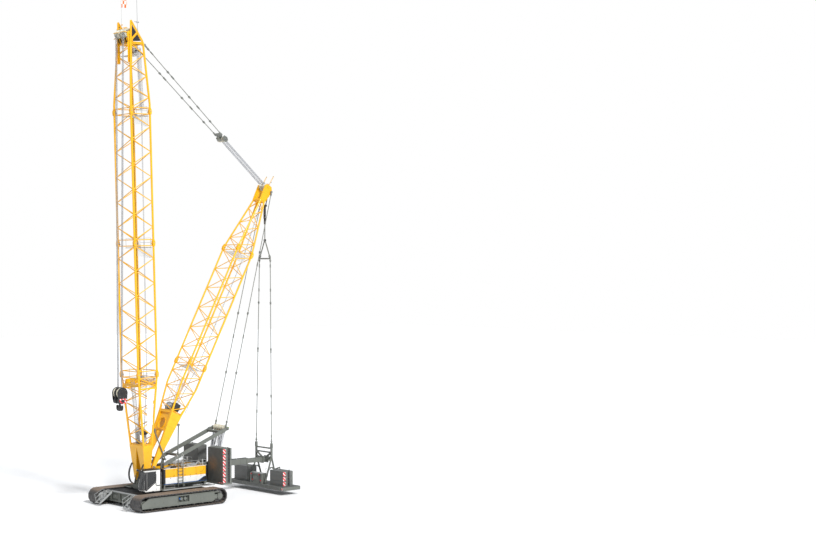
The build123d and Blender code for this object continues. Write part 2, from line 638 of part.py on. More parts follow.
DOOR_OUTLINE = [(DOOR_REAR, DOOR_LOW), (DOOR_FRONT, DOOR_LOW), (DOOR_FRONT, DOOR_HIGH), (DOOR_REAR, DOOR_HIGH)]
DOOR_GLASS = [(DOOR_REAR + 42, 1215), (DOOR_FRONT - 40, 960), (DOOR_FRONT - 40, 1655), (DOOR_REAR + 42, 1655)]
SIDE_GLASS = [(CAB_REAR + 120, 1150), (1440, 960), (1440, 1655), (CAB_REAR + 120, 1655)]
QUARTER_GLASS = [(DOOR_FRONT + 40, 1000), (screen_x(1000) - 45, 1000), (screen_x(1655) - 45, 1655),
                 (DOOR_FRONT + 40, 1655)]
REAR_GLASS = (1200, 1650)


def cab_shell():
    """The hollow cab with its windows and its door opening cut."""
    shell = side_plate(CAB_OUTLINE, CAB_INNER, CAB_OUTER) - inset(CAB_OUTLINE, CAB_WALL)
    y0, y1 = CAB_INNER + 50, CAB_OUTER - 50
    shell -= screen_slab(-30, CAB_WALL + 20, SCREEN_LOW, SCREEN_HIGH, y0, y1)
    shell -= block(DOOR_REAR - DOOR_GAP, DOOR_FRONT + DOOR_GAP, CAB_OUTER - CAB_WALL - 1, CAB_OUTER + 1,
                   DOOR_LOW - DOOR_GAP, DOOR_HIGH + DOOR_GAP)
    shell -= side_plate(SIDE_GLASS, CAB_INNER - 1, CAB_INNER + CAB_WALL + 1)
    shell -= block(CAB_REAR - 1, CAB_REAR + CAB_WALL + 1, y0, y1, *REAR_GLASS)
    shell -= side_plate(QUARTER_GLASS, CAB_OUTER - CAB_WALL - 1, CAB_OUTER + 1)
    shell -= pin_y(*CAB_HINGE, CAB_INNER - 1, CAB_INNER + CAB_WALL + 1, CAB_PIN + PIN_PLAY)
    y = CAB_OUTER + DOOR_HINGE_OUT
    lugs = []
    for z in DOOR_HINGES:
        lugs += [post_z(DOOR_REAR, y, z - 50, z - 4, DOOR_HINGE_RADIUS),
                 post_z(DOOR_REAR, y, z - 10, z + 40, DOOR_HINGE_PIN, 8),
                 block(DOOR_REAR - 60, DOOR_REAR - 12, CAB_OUTER - 1, CAB_OUTER + 6, z - 50, z - 4),
                 block(DOOR_REAR - 20, DOOR_REAR - 4, CAB_OUTER - 1, y, z - 50, z - 4)]
    return join([shell] + lugs)


def cab_glass():
    """The fixed panes: windscreen, right side, rear and the small pane ahead of the door."""
    y0, y1 = CAB_INNER + 50, CAB_OUTER - 50
    screen = screen_slab(8, 8 + GLASS, SCREEN_LOW, SCREEN_HIGH, y0, y1)
    right = side_plate(SIDE_GLASS, CAB_INNER + 8, CAB_INNER + 8 + GLASS)
    rear = block(CAB_REAR + 8, CAB_REAR + 8 + GLASS, y0, y1, *REAR_GLASS)
    quarter = side_plate(QUARTER_GLASS, CAB_OUTER - 8 - GLASS, CAB_OUTER - 8)
    return group([screen, right, rear, quarter])


def cab_door():
    """The driver's door with its window cut and two round hinge barrels."""
    door = side_plate(DOOR_OUTLINE, CAB_OUTER - CAB_WALL, CAB_OUTER)
    door -= side_plate(DOOR_GLASS, CAB_OUTER - CAB_WALL - 1, CAB_OUTER + 1)
    y = CAB_OUTER + DOOR_HINGE_OUT
    barrels = []
    for z in DOOR_HINGES:
        barrels += [disc_z(DOOR_REAR, y, z, z + 44, DOOR_HINGE_RADIUS),
                    block(DOOR_REAR + 4, DOOR_REAR + 20, CAB_OUTER - 1, y, z, z + 44)]
    holes = [post_z(DOOR_REAR, y, z - 1, z + 50, DOOR_HINGE_PIN + PIN_PLAY, 8) for z in DOOR_HINGES]
    return join([door] + barrels) - holes


def cab_seat():
    seat = block(980, 1230, 960, 1180, 1010, 1080)
    back = side_plate([(985, 1070), (1050, 1070), (1010, 1480), (950, 1480)], 965, 1175)
    stand = block(1030, 1170, 1000, 1140, CAB_BOTTOM + CAB_WALL, 1011)
    return join([seat, back, stand])


def cab_console():
    floor = CAB_BOTTOM + CAB_WALL
    return side_plate([(1380, floor), (1460, floor), (1530, 930), (1500, 1130), (1420, 1130)], 900, 1230)


# ---------------------------------------------------------------- booms
def foot_eye(leg, sy, radius, half_depth, top):
    """The round eye at the lower end of a boom's leg."""
    y0, y1 = sy * leg[0], sy * leg[1]
    return join([drum_y(0, 0, y0, y1, radius, 20),
                 side_plate([(-radius, 0), (radius, 0), (half_depth, top), (-half_depth, top)], y0, y1)])


def boom_foot():
    """Main boom foot: two tapering box legs below, lattice above."""
    legs = []
    for sy in (1, -1):
        top, knee = BOOM_LEG_TOP, BOOM_LEG_STRAIGHT
        side = [(-150, 70), (150, 70), (255, top), (-255, top)]
        front = [(sy * BOOM_LEG[0], 70), (sy * BOOM_LEG[1], 70), (sy * BOOM_LEG[1], knee), (sy * 573, top),
                 (-sy * 3, top), (sy * BOOM_LEG[0], knee)]
        legs.append(side_plate(side, -600, 600) & front_plate(front, -300, 300))
        legs.append(foot_eye(BOOM_LEG, sy, 92, 150, 71))
    head = block(-255, 255, -573, 573, BOOM_LEG_TOP - 20, BOOM_LEG_TOP + 100)
    lattice = truss([(BOOM_LEG_TOP + 70, 536, 220), (BOOM_FOOT_LENGTH, BOOM_HALF_WIDTH, BOOM_HALF_DEPTH)],
                    CHORD, LACE, 390, 60, 150)
    blocks = end_blocks(BOOM_FOOT_LENGTH, BOOM_HALF_WIDTH, BOOM_HALF_DEPTH, CHORD * 1.25, False)
    foot = join(legs + [head, lattice] + blocks)
    return foot - pin_y(0, 0, -600, 600, PIVOT_RADIUS + PIN_PLAY)


HEAD_BASE = BOOM_FOOT_LENGTH + 2 * BOOM_SECTION
HEAD_TOP = HEAD_BASE + BOOM_HEAD_TRUSS


def boom_head():
    """Main boom head: a tapering lattice, side plates for the hoist sheaves and the stay bracket."""
    w, d = BOOM_HEAD_HALF_WIDTH, BOOM_HEAD_HALF_DEPTH
    lattice = truss([(HEAD_BASE, BOOM_HALF_WIDTH, BOOM_HALF_DEPTH),
                     (HEAD_BASE + 330, BOOM_HALF_WIDTH, BOOM_HALF_DEPTH),
                     (HEAD_TOP, w, d)], CHORD, LACE, 470, 150, 40)
    parts = [lattice] + end_blocks(HEAD_BASE, BOOM_HALF_WIDTH, BOOM_HALF_DEPTH, CHORD * 1.25, True)
    axle = HEAD_BASE + BOOM_SHEAVE_UP
    for sy in (1, -1):
        cheek = [(d - 150, HEAD_TOP - 20), (d + 60, HEAD_TOP - 20), (BOOM_SHEAVE_OUT + 110, axle - 40),
                 (BOOM_SHEAVE_OUT + 60, axle + 90), (BOOM_SHEAVE_OUT - 90, axle + 90),
                 (d - 260, HEAD_TOP + 330)]
        parts.append(side_plate(cheek, sy * 455, sy * 485))
        stiffener = block(d - 60, d + 40, sy * 420, sy * 560, HEAD_TOP - 900, HEAD_TOP + 30)
        parts.append(stiffener)
        peak = (d - 60, HEAD_TOP + 1010)
        frame = [((d - 20, HEAD_TOP), peak), (peak, (-d, HEAD_TOP + 60)),
                 ((-d - 40, HEAD_TOP), (d, HEAD_TOP)), ((d - 20, HEAD_TOP + 90), (-60, HEAD_TOP + 480))]
        for (xa, sa), (xb, sb) in frame:
            parts.append(bar((xa, sy * 530, sa), (xb, sy * 530, sb), 70))
        eye_x, eye_s = STAY_LUG
        parts.append(side_plate([(-d + 20, HEAD_TOP - 40), (-d + 20, HEAD_TOP + 90), (eye_x - 40, eye_s + 45),
                                 (eye_x - 55, eye_s - 25), (-d - 60, HEAD_TOP - 90)], sy * 300, sy * 335))
    parts.append(block(-d - 50, -d + 60, -545, 545, HEAD_TOP - 60, HEAD_TOP + 50))
    parts.append(block(d - 110, d - 10, -535, 535, HEAD_TOP - 60, HEAD_TOP + 60))
    parts.append(drum_y(BOOM_SHEAVE_OUT, axle, -520, 520, HEAD_PIN, 12))
    return join(parts)


STAY_LUG = local_to(BOOM_FOOT_X, BOOM_FOOT_Z, BOOM_LEAN, STAY_EYE_X, STAY_EYE_Z)


def sheave_pack(x, z, y0, y1, radius, grooves):
    """A pack of rope wheels on one axle: a drum with square grooves."""
    pack = drum_y(x, z, y0, y1, radius, SHEAVE_SIDES)
    pitch = (y1 - y0) / grooves
    for k in range(grooves):
        y = y0 + (k + 0.5) * pitch
        low, high = y - abs(pitch) * 0.25, y + abs(pitch) * 0.25
        core = drum_y(x, z, low - 1, high + 1, radius - 26, SHEAVE_SIDES)
        pack -= drum_y(x, z, low, high, radius + 5, SHEAVE_SIDES) - core
    return pack


def hoist_sheaves():
    """The two packs of rope wheels that turn on the main boom's head axle."""
    x, s = BOOM_SHEAVE_OUT, HEAD_BASE + BOOM_SHEAVE_UP
    pack = sheave_pack(x, s, 60, 440, 205, HOIST_FALLS)
    return both_sides(pack - pin_y(x, s, 50, 450, HEAD_PIN + PIN_PLAY))


def boom_winch():
    """The winch that sits inside the foot of the main boom."""
    return winch(0, BOOM_WINCH_UP, 260, 110, 165, BOOM_LEG_TOP + 100)


def derrick_foot():
    """Derrick boom foot: two narrow box legs, a front cross panel with its round opening, lattice above."""
    legs = []
    for sy in (1, -1):
        top = DERRICK_LEG_TOP
        side = [(-85, 60), (85, 60), (300, top), (-300, top)]
        front = [(sy * DERRICK_LEG[0], 60), (sy * DERRICK_LEG[1], 60), (sy * 545, top), (sy * 405, top)]
        legs.append(side_plate(side, -600, 600) & front_plate(front, -400, 400))
        legs.append(foot_eye(DERRICK_LEG, sy, 70, 85, 61))
    panel = block(150, 215, -430, 430, DERRICK_LEG_TOP - 950, DERRICK_LEG_TOP)
    porthole = Plane.YZ.offset(149) * Pos(0, DERRICK_PORTHOLE[0]) * RegularPolygon(DERRICK_PORTHOLE[1], 32)
    panel -= extrude(porthole, amount=67)
    cross = block(-285, 285, -480, 480, DERRICK_LEG_TOP - 60, DERRICK_LEG_TOP + 40)
    lattice = truss([(DERRICK_LEG_TOP, 505, 275), (4100, DERRICK_HALF_WIDTH, DERRICK_HALF_DEPTH),
                     (DERRICK_FOOT_LENGTH, DERRICK_HALF_WIDTH, DERRICK_HALF_DEPTH)],
                    DERRICK_CHORD, DERRICK_LACE, 400, 60, 130)
    blocks = end_blocks(DERRICK_FOOT_LENGTH, DERRICK_HALF_WIDTH, DERRICK_HALF_DEPTH,
                        DERRICK_CHORD * 1.25, False)
    foot = join(legs + [panel, cross, lattice] + blocks)
    return foot - pin_y(0, 0, -600, 600, DERRICK_PIN + PIN_PLAY)


def derrick_stops():
    """The two struts behind the derrick's legs that come down on the A-frame when it leans back."""
    low = local_to(DERRICK_FOOT_X, DERRICK_FOOT_Z, DERRICK_LEAN, -730, 2282)
    parts = []
    for sy in (1, -1):
        y = sy * 572
        top = (-300, y, 2267)
        parts.append(join([tube(top, (low[0], y, low[1]), 56, 8),
                           block(-345, -255, sy * 534, sy * 605, 2215, 2320),
                           tube((low[0] + 30, y, low[1] + 62), (low[0], y, low[1]), 90, 8)]))
    return group(parts)


D_HEAD_BASE = DERRICK_FOOT_LENGTH + DERRICK_SECTION
D_HEAD_TOP = D_HEAD_BASE + DERRICK_HEAD_TRUSS
DERRICK_TIP = D_HEAD_TOP + DERRICK_TIP_UP


def derrick_head():
    """Derrick boom head: a tapering lattice that ends in two solid side plates."""
    w, d = DERRICK_HEAD_HALF_WIDTH, DERRICK_HEAD_HALF_DEPTH
    lattice = truss([(D_HEAD_BASE, DERRICK_HALF_WIDTH, DERRICK_HALF_DEPTH), (D_HEAD_TOP, w, d)],
                    DERRICK_CHORD, DERRICK_LACE, 430, 130, 60)
    parts = [lattice] + end_blocks(D_HEAD_BASE, DERRICK_HALF_WIDTH, DERRICK_HALF_DEPTH,
                                   DERRICK_CHORD * 1.25, True)
    for sy in (1, -1):
        cheek = [(d + 60, D_HEAD_TOP - 60), (d + 90, DERRICK_TIP), (d - 20, DERRICK_TIP + 110),
                 (-d - 60, DERRICK_TIP + 90), (-d - 190, DERRICK_TIP - 130), (-d - 120, DERRICK_TIP - 420),
                 (-d - 50, D_HEAD_TOP - 60)]
        parts.append(side_plate(cheek, sy * 258, sy * 292))
        post = bar((0, sy * 275, DERRICK_TIP + 60), (-60, sy * 275, DERRICK_TIP + 620), 36)
        parts.append(post)
    parts.append(block(-d - 40, d + 40, -260, 260, D_HEAD_TOP - 50, D_HEAD_TOP + 30))
    parts.append(drum_y(0, DERRICK_TIP, -330, 330, HEAD_PIN, 12))
    return join(parts)


def derrick_sheaves():
    """The rope wheels of the main stays on the derrick head axle."""
    pack = sheave_pack(0, DERRICK_TIP, 30, 240, 170, 2)
    return both_sides(pack - drum_y(0, DERRICK_TIP, 20, 250, HEAD_PIN, 12))


def derrick_winch():
    return winch(60, DERRICK_WINCH_UP, 230, 150, 215, DERRICK_LEG_TOP + 40)


# ---------------------------------------------------------------- stays, ropes and hook
def unit(dx, dz):
    n = hypot(dx, dz)
    return dx / n, dz / n


D_AXLE = on_derrick(0, DERRICK_TIP)
STAY_DIR = unit(D_AXLE[0] - STAY_EYE_X, D_AXLE[1] - STAY_EYE_Z)
STAY = Location((STAY_EYE_X, 0, STAY_EYE_Z), (0, degrees(atan2(STAY_DIR[0], STAY_DIR[1])), 0))
STAY_TOTAL = hypot(D_AXLE[0] - STAY_EYE_X, D_AXLE[1] - STAY_EYE_Z)


def stay_pendants():
    """The two bars of the main stays, in three links each, ending in eyes beside the boom's lugs."""
    parts = []
    for sy in (1, -1):
        top, low = sy * STAY_EYE_Y, sy * 240
        ends = [0.0, 0.36, 0.7, 1.0]

        def at(t):
            return (0, top + (low - top) * t, 20 + (STAY_LENGTH - YOKE_UP - 60) * t)
        rods = [tube(at(a + 0.004), at(b - 0.004), 30, 6) for a, b in zip(ends, ends[1:])]
        links = [bar((0, at(t)[1], at(t)[2] - 95), (0, at(t)[1], at(t)[2] + 95), 60) for t in ends[1:3]]
        eye = pin_y(0, 0, top - 26, top + 26, 62)
        neck = block(-30, 30, top - 26, top + 26, 0, 150)
        socket = block(-26, 26, low - 28, low + 28, STAY_LENGTH - YOKE_UP - 90, STAY_LENGTH - YOKE_UP)
        parts.append(join(rods + links + [eye, neck, socket]))
    return group(parts)


def stay_block():
    """The yoke and the pulley block between the pendants and the rope falls."""
    s = STAY_LENGTH
    yoke = front_plate([(-270, s - YOKE_UP), (270, s - YOKE_UP), (290, s - 240), (60, s - 60), (-60, s - 60),
                        (-290, s - 240)], -32, 32)
    wheels = drum_y(0, s + 60, -251, 251, 120)
    outline = [(-75, s - 120), (75, s - 120), (130, s + 60), (60, s + 190), (-60, s + 190), (-130, s + 60)]
    cheeks = [side_plate(outline, y, y + 24) for y in (-274, -12, 250)]
    stem = block(-55, 55, -80, 80, s - 130, s + 10)
    return join([yoke, stem, wheels] + cheeks)


def stay_falls():
    """The two bundles of rope falls between the pulley block and the derrick head."""
    s0, s1 = STAY_LENGTH + 191, STAY_TOTAL - 215
    return both_sides(block(-40, 40, 45, 225, s0, s1))


HOIST_AXLE = on_boom(BOOM_SHEAVE_OUT, HEAD_BASE + BOOM_SHEAVE_UP)
FALLS_X = HOIST_AXLE[0] + 190


def hoist_falls():
    """The two bundles of hook rope from the boom head down to the hook block."""
    top, low = HOIST_AXLE[1] - 230, HOOK_BLOCK_Z + 330
    return both_sides(block(FALLS_X - 38, FALLS_X + 38, ROPE_SPREAD - 70, ROPE_SPREAD + 70, low, top))


def hook_block():
    """Two sheave packs in cheek plates, over the cross head that carries the hook."""
    x, z = FALLS_X, HOOK_BLOCK_Z
    parts = []
    cheek = [(x - 235, z - 60), (x - 150, z + 225), (x + 150, z + 225), (x + 235, z - 60),
             (x + 120, z - 330), (x - 120, z - 330)]
    for sy in (1, -1):
        y = sy * ROPE_SPREAD
        parts.append(drum_y(x, z, y - 89, y + 89, 225))
        parts += [side_plate(cheek, side, side + 22) for side in (y - 110, y + 88)]
        parts.append(block(x - 90, x + 90, y - 90, y + 90, z - 340, z - 228))
    parts.append(block(x - 80, x + 80, -ROPE_SPREAD - 100, ROPE_SPREAD + 100, z - 400, z - 290))
    parts.append(drum_y(x, z, -ROPE_SPREAD - 128, ROPE_SPREAD + 128, 45, 12))
    return join(parts) - disc_z(x, 0, z - 401, z - 289, 46)


def hook():
    """Double hook hanging in the cross head, turning on its shank."""
    x, z = FALLS_X, HOOK_BLOCK_Z - 400
    shank = join([disc_z(x, 0, z - 120, z + 119, 40), post_z(x, 0, z + 118, z + 180, 75, 6)])
    outer = [(0, z - 100), (55, z - 160), (60, z - 230), (150, z - 300), (185, z - 255), (182, z - 190),
             (215, z - 150), (240, z - 230), (225, z - 330), (150, z - 400), (0, z - 420)]
    points = outer + [(-y, h) for y, h in reversed(outer[1:-1])]
    return join([shank, front_plate(points, x - 42, x + 42)])


# ---------------------------------------------------------------- A-frame and back stays
A_RUN, A_RISE = A_FRAME_HEAD[0] - A_FRAME_FOOT[0], A_FRAME_HEAD[1] - A_FRAME_FOOT[1]
A_LENGTH = hypot(A_RUN, A_RISE)
A_FRAME = Location((A_FRAME_FOOT[0], 0, A_FRAME_FOOT[1]), (0, degrees(atan2(A_RUN, A_RISE)), 0))
BACK_EYE = on_derrick(-DERRICK_HEAD_HALF_DEPTH - 130, DERRICK_TIP - 150)
BACK_LENGTH = hypot(BACK_EYE[0] - A_FRAME_HEAD[0], BACK_EYE[1] - A_FRAME_HEAD[1])
BACK = Location((BACK_EYE[0], 0, BACK_EYE[1]),
                (0, degrees(atan2(A_FRAME_HEAD[0] - BACK_EYE[0], A_FRAME_HEAD[1] - BACK_EYE[1])), 0))


def a_frame():
    """Two beams from the feet to the head axle, joined by cross members."""
    parts = []
    for sy in (1, -1):
        y0, y1 = sy * A_FRAME_LEG[0], sy * A_FRAME_LEG[1]
        foot = drum_y(0, 0, y0, y1, 58, 16)
        rear_edge = [(-55, 0), (-75, 300), (-75, A_LENGTH - 250), (-60, A_LENGTH + 60)]
        beam = side_plate(rear_edge + [(-x, s) for x, s in reversed(rear_edge)], y0, y1)
        parts += [foot, beam]
    for s in (900, A_LENGTH - 420):
        parts.append(block(-50, 50, -A_FRAME_LEG[0] - 1, A_FRAME_LEG[0] + 1, s, s + 90))
    parts.append(drum_y(0, A_LENGTH, -A_FRAME_LEG[0] - 1, A_FRAME_LEG[0] + 1, HEAD_PIN, 12))
    return join(parts) - pin_y(0, 0, -700, 700, A_FRAME_PIN + PIN_PLAY)


def a_frame_sheaves():
    bore = drum_y(0, A_LENGTH, -500, 500, HEAD_PIN, 12)
    return group([drum_y(0, A_LENGTH, y - w, y + w, 135) - bore for y, w in ((0, 205), (330, 50), (-330, 50))])


def back_stays():
    """The two pendants from the derrick head to the A-frame head."""
    parts = []
    for sy in (1, -1):
        top, low = sy * 345, sy * 430
        ends = [0.0, 0.31, 0.62, 1.0]

        def at(t):
            return (0, top + (low - top) * t, 60 + (BACK_LENGTH - 130) * t)
        rods = [tube(at(a + 0.003), at(b - 0.003), 30, 6) for a, b in zip(ends, ends[1:])]
        links = [bar((0, at(t)[1], at(t)[2] - 90), (0, at(t)[1], at(t)[2] + 90), 56) for t in ends[1:3]]
        eye = join([pin_y(0, 0, top - 22, top + 22, 55), block(-28, 28, top - 22, top + 22, 0, 120)])
        fork = block(-32, 32, low - 22, low + 22, BACK_LENGTH - 210, BACK_LENGTH - 62)
        parts.append(join(rods + links + [eye, fork]))
    return group(parts)


def a_frame_falls():
    """The rope falls from the A-frame head down to the tail of the platform."""
    x1, z1 = A_FRAME_HEAD[0] + 70, A_FRAME_HEAD[1] - 170
    x0, z0 = ROPE_PULLEY_X, PLATFORM_TOP + 150
    return both_sides(side_plate([(x0 - 30, z0), (x0 + 30, z0), (x1 + 30, z1), (x1 - 30, z1)], 165, 200))


# ---------------------------------------------------------------- derrick ballast
HANG_TOP = on_derrick(-DERRICK_HEAD_HALF_DEPTH - 100, DERRICK_TIP - 400)


def pull_cylinder():
    """The two links and the barrel that hang from the derrick head."""
    x, z = HANG_TOP
    links = [bar((x, sy * 225, z), (x, sy * 70, z - 420), 40) for sy in (1, -1)]
    eyes = [pin_y(x, z, sy * 200, sy * 250, 42) for sy in (1, -1)]
    cross = block(x - 45, x + 45, -110, 110, z - 500, z - 400)
    barrel = post_z(x, 0, z - 1350, z - 480, 52, 16) - post_z(x, 0, z - 1351, z - 560, 32)
    return join(links + eyes + [cross, barrel])


def ballast_rods():
    """Pull rod, triangle and the two long rods down to the ballast frame."""
    x, z = HANG_TOP
    apex, base, foot = ROD_APEX, ROD_BASE, ROD_FOOT
    rod = post_z(x, 0, apex - 30, z - 1350 + ROD_ENGAGED, 24)
    parts = [rod, block(x - 34, x + 34, -50, 50, apex - 90, apex + 40)]
    parts += [bar((x, sy * 30, apex - 40), (x, sy * 430, base), 52) for sy in (1, -1)]
    parts.append(block(x - 30, x + 30, -430, 430, base - 30, base + 30))
    for sy in (1, -1):
        def at(t):
            return (x + (BALLAST_X - x) * t, sy * (430 + 180 * t), base + (foot - base) * t)
        parts.append(tube(at(0), at(1), 32, 6))
        for t in (0.04, 0.17, 0.5, 0.83):
            a, b = at(t - 0.008), at(t + 0.008)
            parts.append(bar(a, b, 56))
    return join(parts)


def guide_inner():
    """The sliding half of the ballast's guide beam."""
    y = GUIDE_HALF_WIDTH - GUIDE_WALL - CLEAR
    z0, z1 = GUIDE_LOW + GUIDE_WALL + CLEAR, GUIDE_HIGH - GUIDE_WALL - CLEAR
    x0, x1 = BALLAST_X - 330, GUIDE_INNER_FRONT
    return block(x0, x1, -y, y, z0, z1) - block(x0 - 1, x1 + 1, -y + 16, y - 16, z0 + 16, z1 - 16)


def ballast_frame():
    """The suspension frame: a sleeve on the guide beam, two posts, and legs down to the tray."""
    y = GUIDE_HALF_WIDTH - GUIDE_WALL - CLEAR
    z0, z1 = GUIDE_LOW + GUIDE_WALL + CLEAR, GUIDE_HIGH - GUIDE_WALL - CLEAR
    x = BALLAST_X
    sleeve = block(x - 150, x + 150, -y - 30, y + 30, z0 - 30, z1 + 30)
    sleeve -= block(x - 151, x + 151, -y, y, z0, z1)
    parts = [sleeve]
    for sy in (1, -1):
        parts.append(block(x - 45, x + 45, sy * 575, sy * 645, 1640, 2230))
        parts.append(bar((x, sy * (y + 30), z1 - 10), (x, sy * 610, 1900), 80))
        parts.append(bar((x, sy * (y + 30), z0 + 40), (x, sy * 610, 1700), 80))
        for sx in (1, -1):
            parts.append(bar((x, sy * 610, 1700), (x + sx * 360, sy * 560, TRAY_HIGH + 17), 74))
            parts.append(block(x + sx * 310, x + sx * 410, sy * 500, sy * 620, TRAY_HIGH, TRAY_HIGH + 26))
            parts.append(bar((x + sx * 190, sy * 585, 1060), (x + sx * 330, sy * 860, TRAY_HIGH + 780), 46))
    parts += [block(x - 32, x + 32, -610, 610, z - 30, z + 30) for z in (2100, 1900)]
    return join(parts)


def ballast_tray():
    """The open tray, with a rim all round and ribs across its floor."""
    tray = block(TRAY_REAR, TRAY_FRONT, -TRAY_HALF_WIDTH, TRAY_HALF_WIDTH, TRAY_LOW, TRAY_HIGH)
    x0, x1, half = TRAY_REAR + 30, TRAY_FRONT - 30, TRAY_HALF_WIDTH
    for sy in (1, -1):
        tray -= block(x0, x1, sy * (half - 190), sy * (half - 30), TRAY_LOW + 30, TRAY_HIGH + 1)
    return tray - block(x0, x1, 260 - half, half - 260, TRAY_LOW - 1, TRAY_HIGH - 40)


def ballast_stack():
    """The left stack on the tray, three slabs with a chain slot on the outer side."""
    x0, x1, y0, y1 = BALLAST_X - 255, BALLAST_X + 345, 930, 1950
    z0, z1 = TRAY_HIGH, TRAY_HIGH + BALLAST_SLAB * BALLAST_SLABS
    stack = block(x0, x1, y0, y1, z0, z1)
    stack -= block(x0 + 200, x0 + 320, y1 - 60, y1 + 1, z0 - 1, z1 + 1)
    for k in range(1, BALLAST_SLABS):
        z = z0 + BALLAST_SLAB * k
        stack -= (block(x0 - 1, x1 + 1, y0 - 1, y1 + 1, z - 4, z + 4)
                  - block(x0 + 14, x1 - 14, y0 + 14, y1 - 74, z - 5, z + 5))
    return stack


def ballast_core():
    """The centre box between the stacks."""
    x0, x1, z0, z1 = BALLAST_X + 175, BALLAST_X + 495, TRAY_HIGH, TRAY_HIGH + 490
    return block(x0, x1, -460, 460, z0, z1) - block(x1 - 20, x1 + 1, -250, 250, z0 + 70, z1 - 70)


def flag_mast():
    """The light mast above the boom head, with its flag."""
    x, y = MAST_AT
    foot = HEAD_TOP + MAST_FOOT_UP
    top = foot + MAST_LENGTH
    pole = tube((x, y, foot), (x, y, top), 24, 8)
    flag = block(x - 310, x - 8, y - 4, y + 4, top - 610, top - 110)
    clamp = block(x - 30, x + 30, y - 15, y + 18.5, foot, foot + 90)
    return join([pole, flag, clamp])


# ---------------------------------------------------------------- all nodes
def make_nodes():
    nodes = {}
    for side, place in (("left", lambda s: s), ("right", other_side)):
        nodes[f"track_loop_{side}"] = place(track_loop_left)
        nodes[f"track_frame_{side}"] = place(track_frame_left)
        nodes[f"house_lower_{side}"] = place(house_shell(PLATFORM_TOP, HOUSE_BAND))
        nodes[f"house_upper_{side}"] = place(house_shell(HOUSE_BAND, HOUSE_TOP))
        nodes[f"counterweight_{side}"] = place(counterweight())
        nodes[f"ballast_stack_{side}"] = place(ballast_stack())
    nodes["track_wheels"] = both_sides(track_wheels())
    nodes["car_body"] = car_body()
    nodes["decks"] = decks()
    nodes["stairs"] = both_sides(stairs())
    nodes["slew_ring"] = slew_ring()
    nodes["slewing_platform"] = slewing_platform()
    nodes["walkways"] = group([walkway(HOUSE_FRONT + 385, WALKWAY_REAR),
                               other_side(walkway(PLATFORM_FRONT, WALKWAY_REAR))])
    nodes["access_ladder"] = ladder()
    nodes["engine"] = block(*ENGINE_X, -HOUSE_OUTER + 60, -HOUSE_INNER - 60, PLATFORM_TOP, ENGINE_TOP)
    nodes["winches"] = group([winch(WINCH_FIRST - WINCH_PITCH * k, WINCH_Z, WINCH_HALF, WINCH_DRUM,
                                    WINCH_FLANGE, PLATFORM_TOP) for k in range(3)])
    nodes["weight_carrier"] = weight_carrier()
    nodes["ballast_guide"] = guide_outer()
    nodes["a_frame_falls"] = a_frame_falls()
    nodes["cab_shell"] = cab_shell()
    nodes["cab_glass"] = cab_glass()
    nodes["cab_door"] = cab_door()
    nodes["cab_door_glass"] = side_plate(DOOR_GLASS, CAB_OUTER - 8 - GLASS, CAB_OUTER - 8)
    nodes["cab_interior"] = group([cab_seat(), cab_console()])
    for name, shape in {
        "boom_foot": boom_foot(),
        "boom_section_lower": section(BOOM_FOOT_LENGTH, BOOM_FOOT_LENGTH + BOOM_SECTION,
                                      BOOM_HALF_WIDTH, BOOM_HALF_DEPTH, CHORD, LACE, BAY),
        "boom_section_upper": section(BOOM_FOOT_LENGTH + BOOM_SECTION, HEAD_BASE,
                                      BOOM_HALF_WIDTH, BOOM_HALF_DEPTH, CHORD, LACE, BAY),
        "boom_head": boom_head(),
        "boom_winch": boom_winch(),
        "hoist_sheaves": hoist_sheaves(),
        "flag_mast": flag_mast(),
    }.items():
        nodes[name] = MAIN * shape
    for name, shape in {
        "derrick_foot": derrick_foot(),
        "derrick_section": section(DERRICK_FOOT_LENGTH, D_HEAD_BASE, DERRICK_HALF_WIDTH, DERRICK_HALF_DEPTH,
                                   DERRICK_CHORD, DERRICK_LACE, DERRICK_BAY),
        "derrick_head": derrick_head(),
        "derrick_sheaves": derrick_sheaves(),
        "derrick_winch": derrick_winch(),
        "derrick_stops": derrick_stops(),
    }.items():
        nodes[name] = DERRICK * shape
    nodes["stay_pendants"] = STAY * stay_pendants()
    nodes["stay_block"] = STAY * stay_block()
    nodes["stay_falls"] = STAY * stay_falls()
    nodes["hoist_falls"] = hoist_falls()
    nodes["hook_block"] = hook_block()
    nodes["hook"] = hook()
    nodes["a_frame"] = A_FRAME * a_frame()
    nodes["a_frame_sheaves"] = A_FRAME * a_frame_sheaves()
    nodes["back_stays"] = BACK * back_stays()
    nodes["pull_cylinder"] = pull_cylinder()
    nodes["ballast_rods"] = ballast_rods()
    nodes["guide_inner"] = guide_inner()
    nodes["ballast_frame"] = ballast_frame()
    nodes["ballast_tray"] = ballast_tray()
    nodes["ballast_core"] = ballast_core()
    return nodes


track_loop_left = track_loop()
track_frame_left = track_frame()

if __name__ == "__main__":
    os.makedirs("parts", exist_ok=True)
    for node, shape in make_nodes().items():
        export_step(shape, f"parts/{node}.step")
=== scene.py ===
"""Crawler crane: finishes and fine shapes around its solid parts.

Metres, X forward, Y to the driver's left, Z up, origin on the ground under the slewing axis.
"""
import json
from math import atan2, cos, degrees, hypot, pi, radians, sin

import bmesh
import bpy
from mathutils import Euler, Matrix, Vector

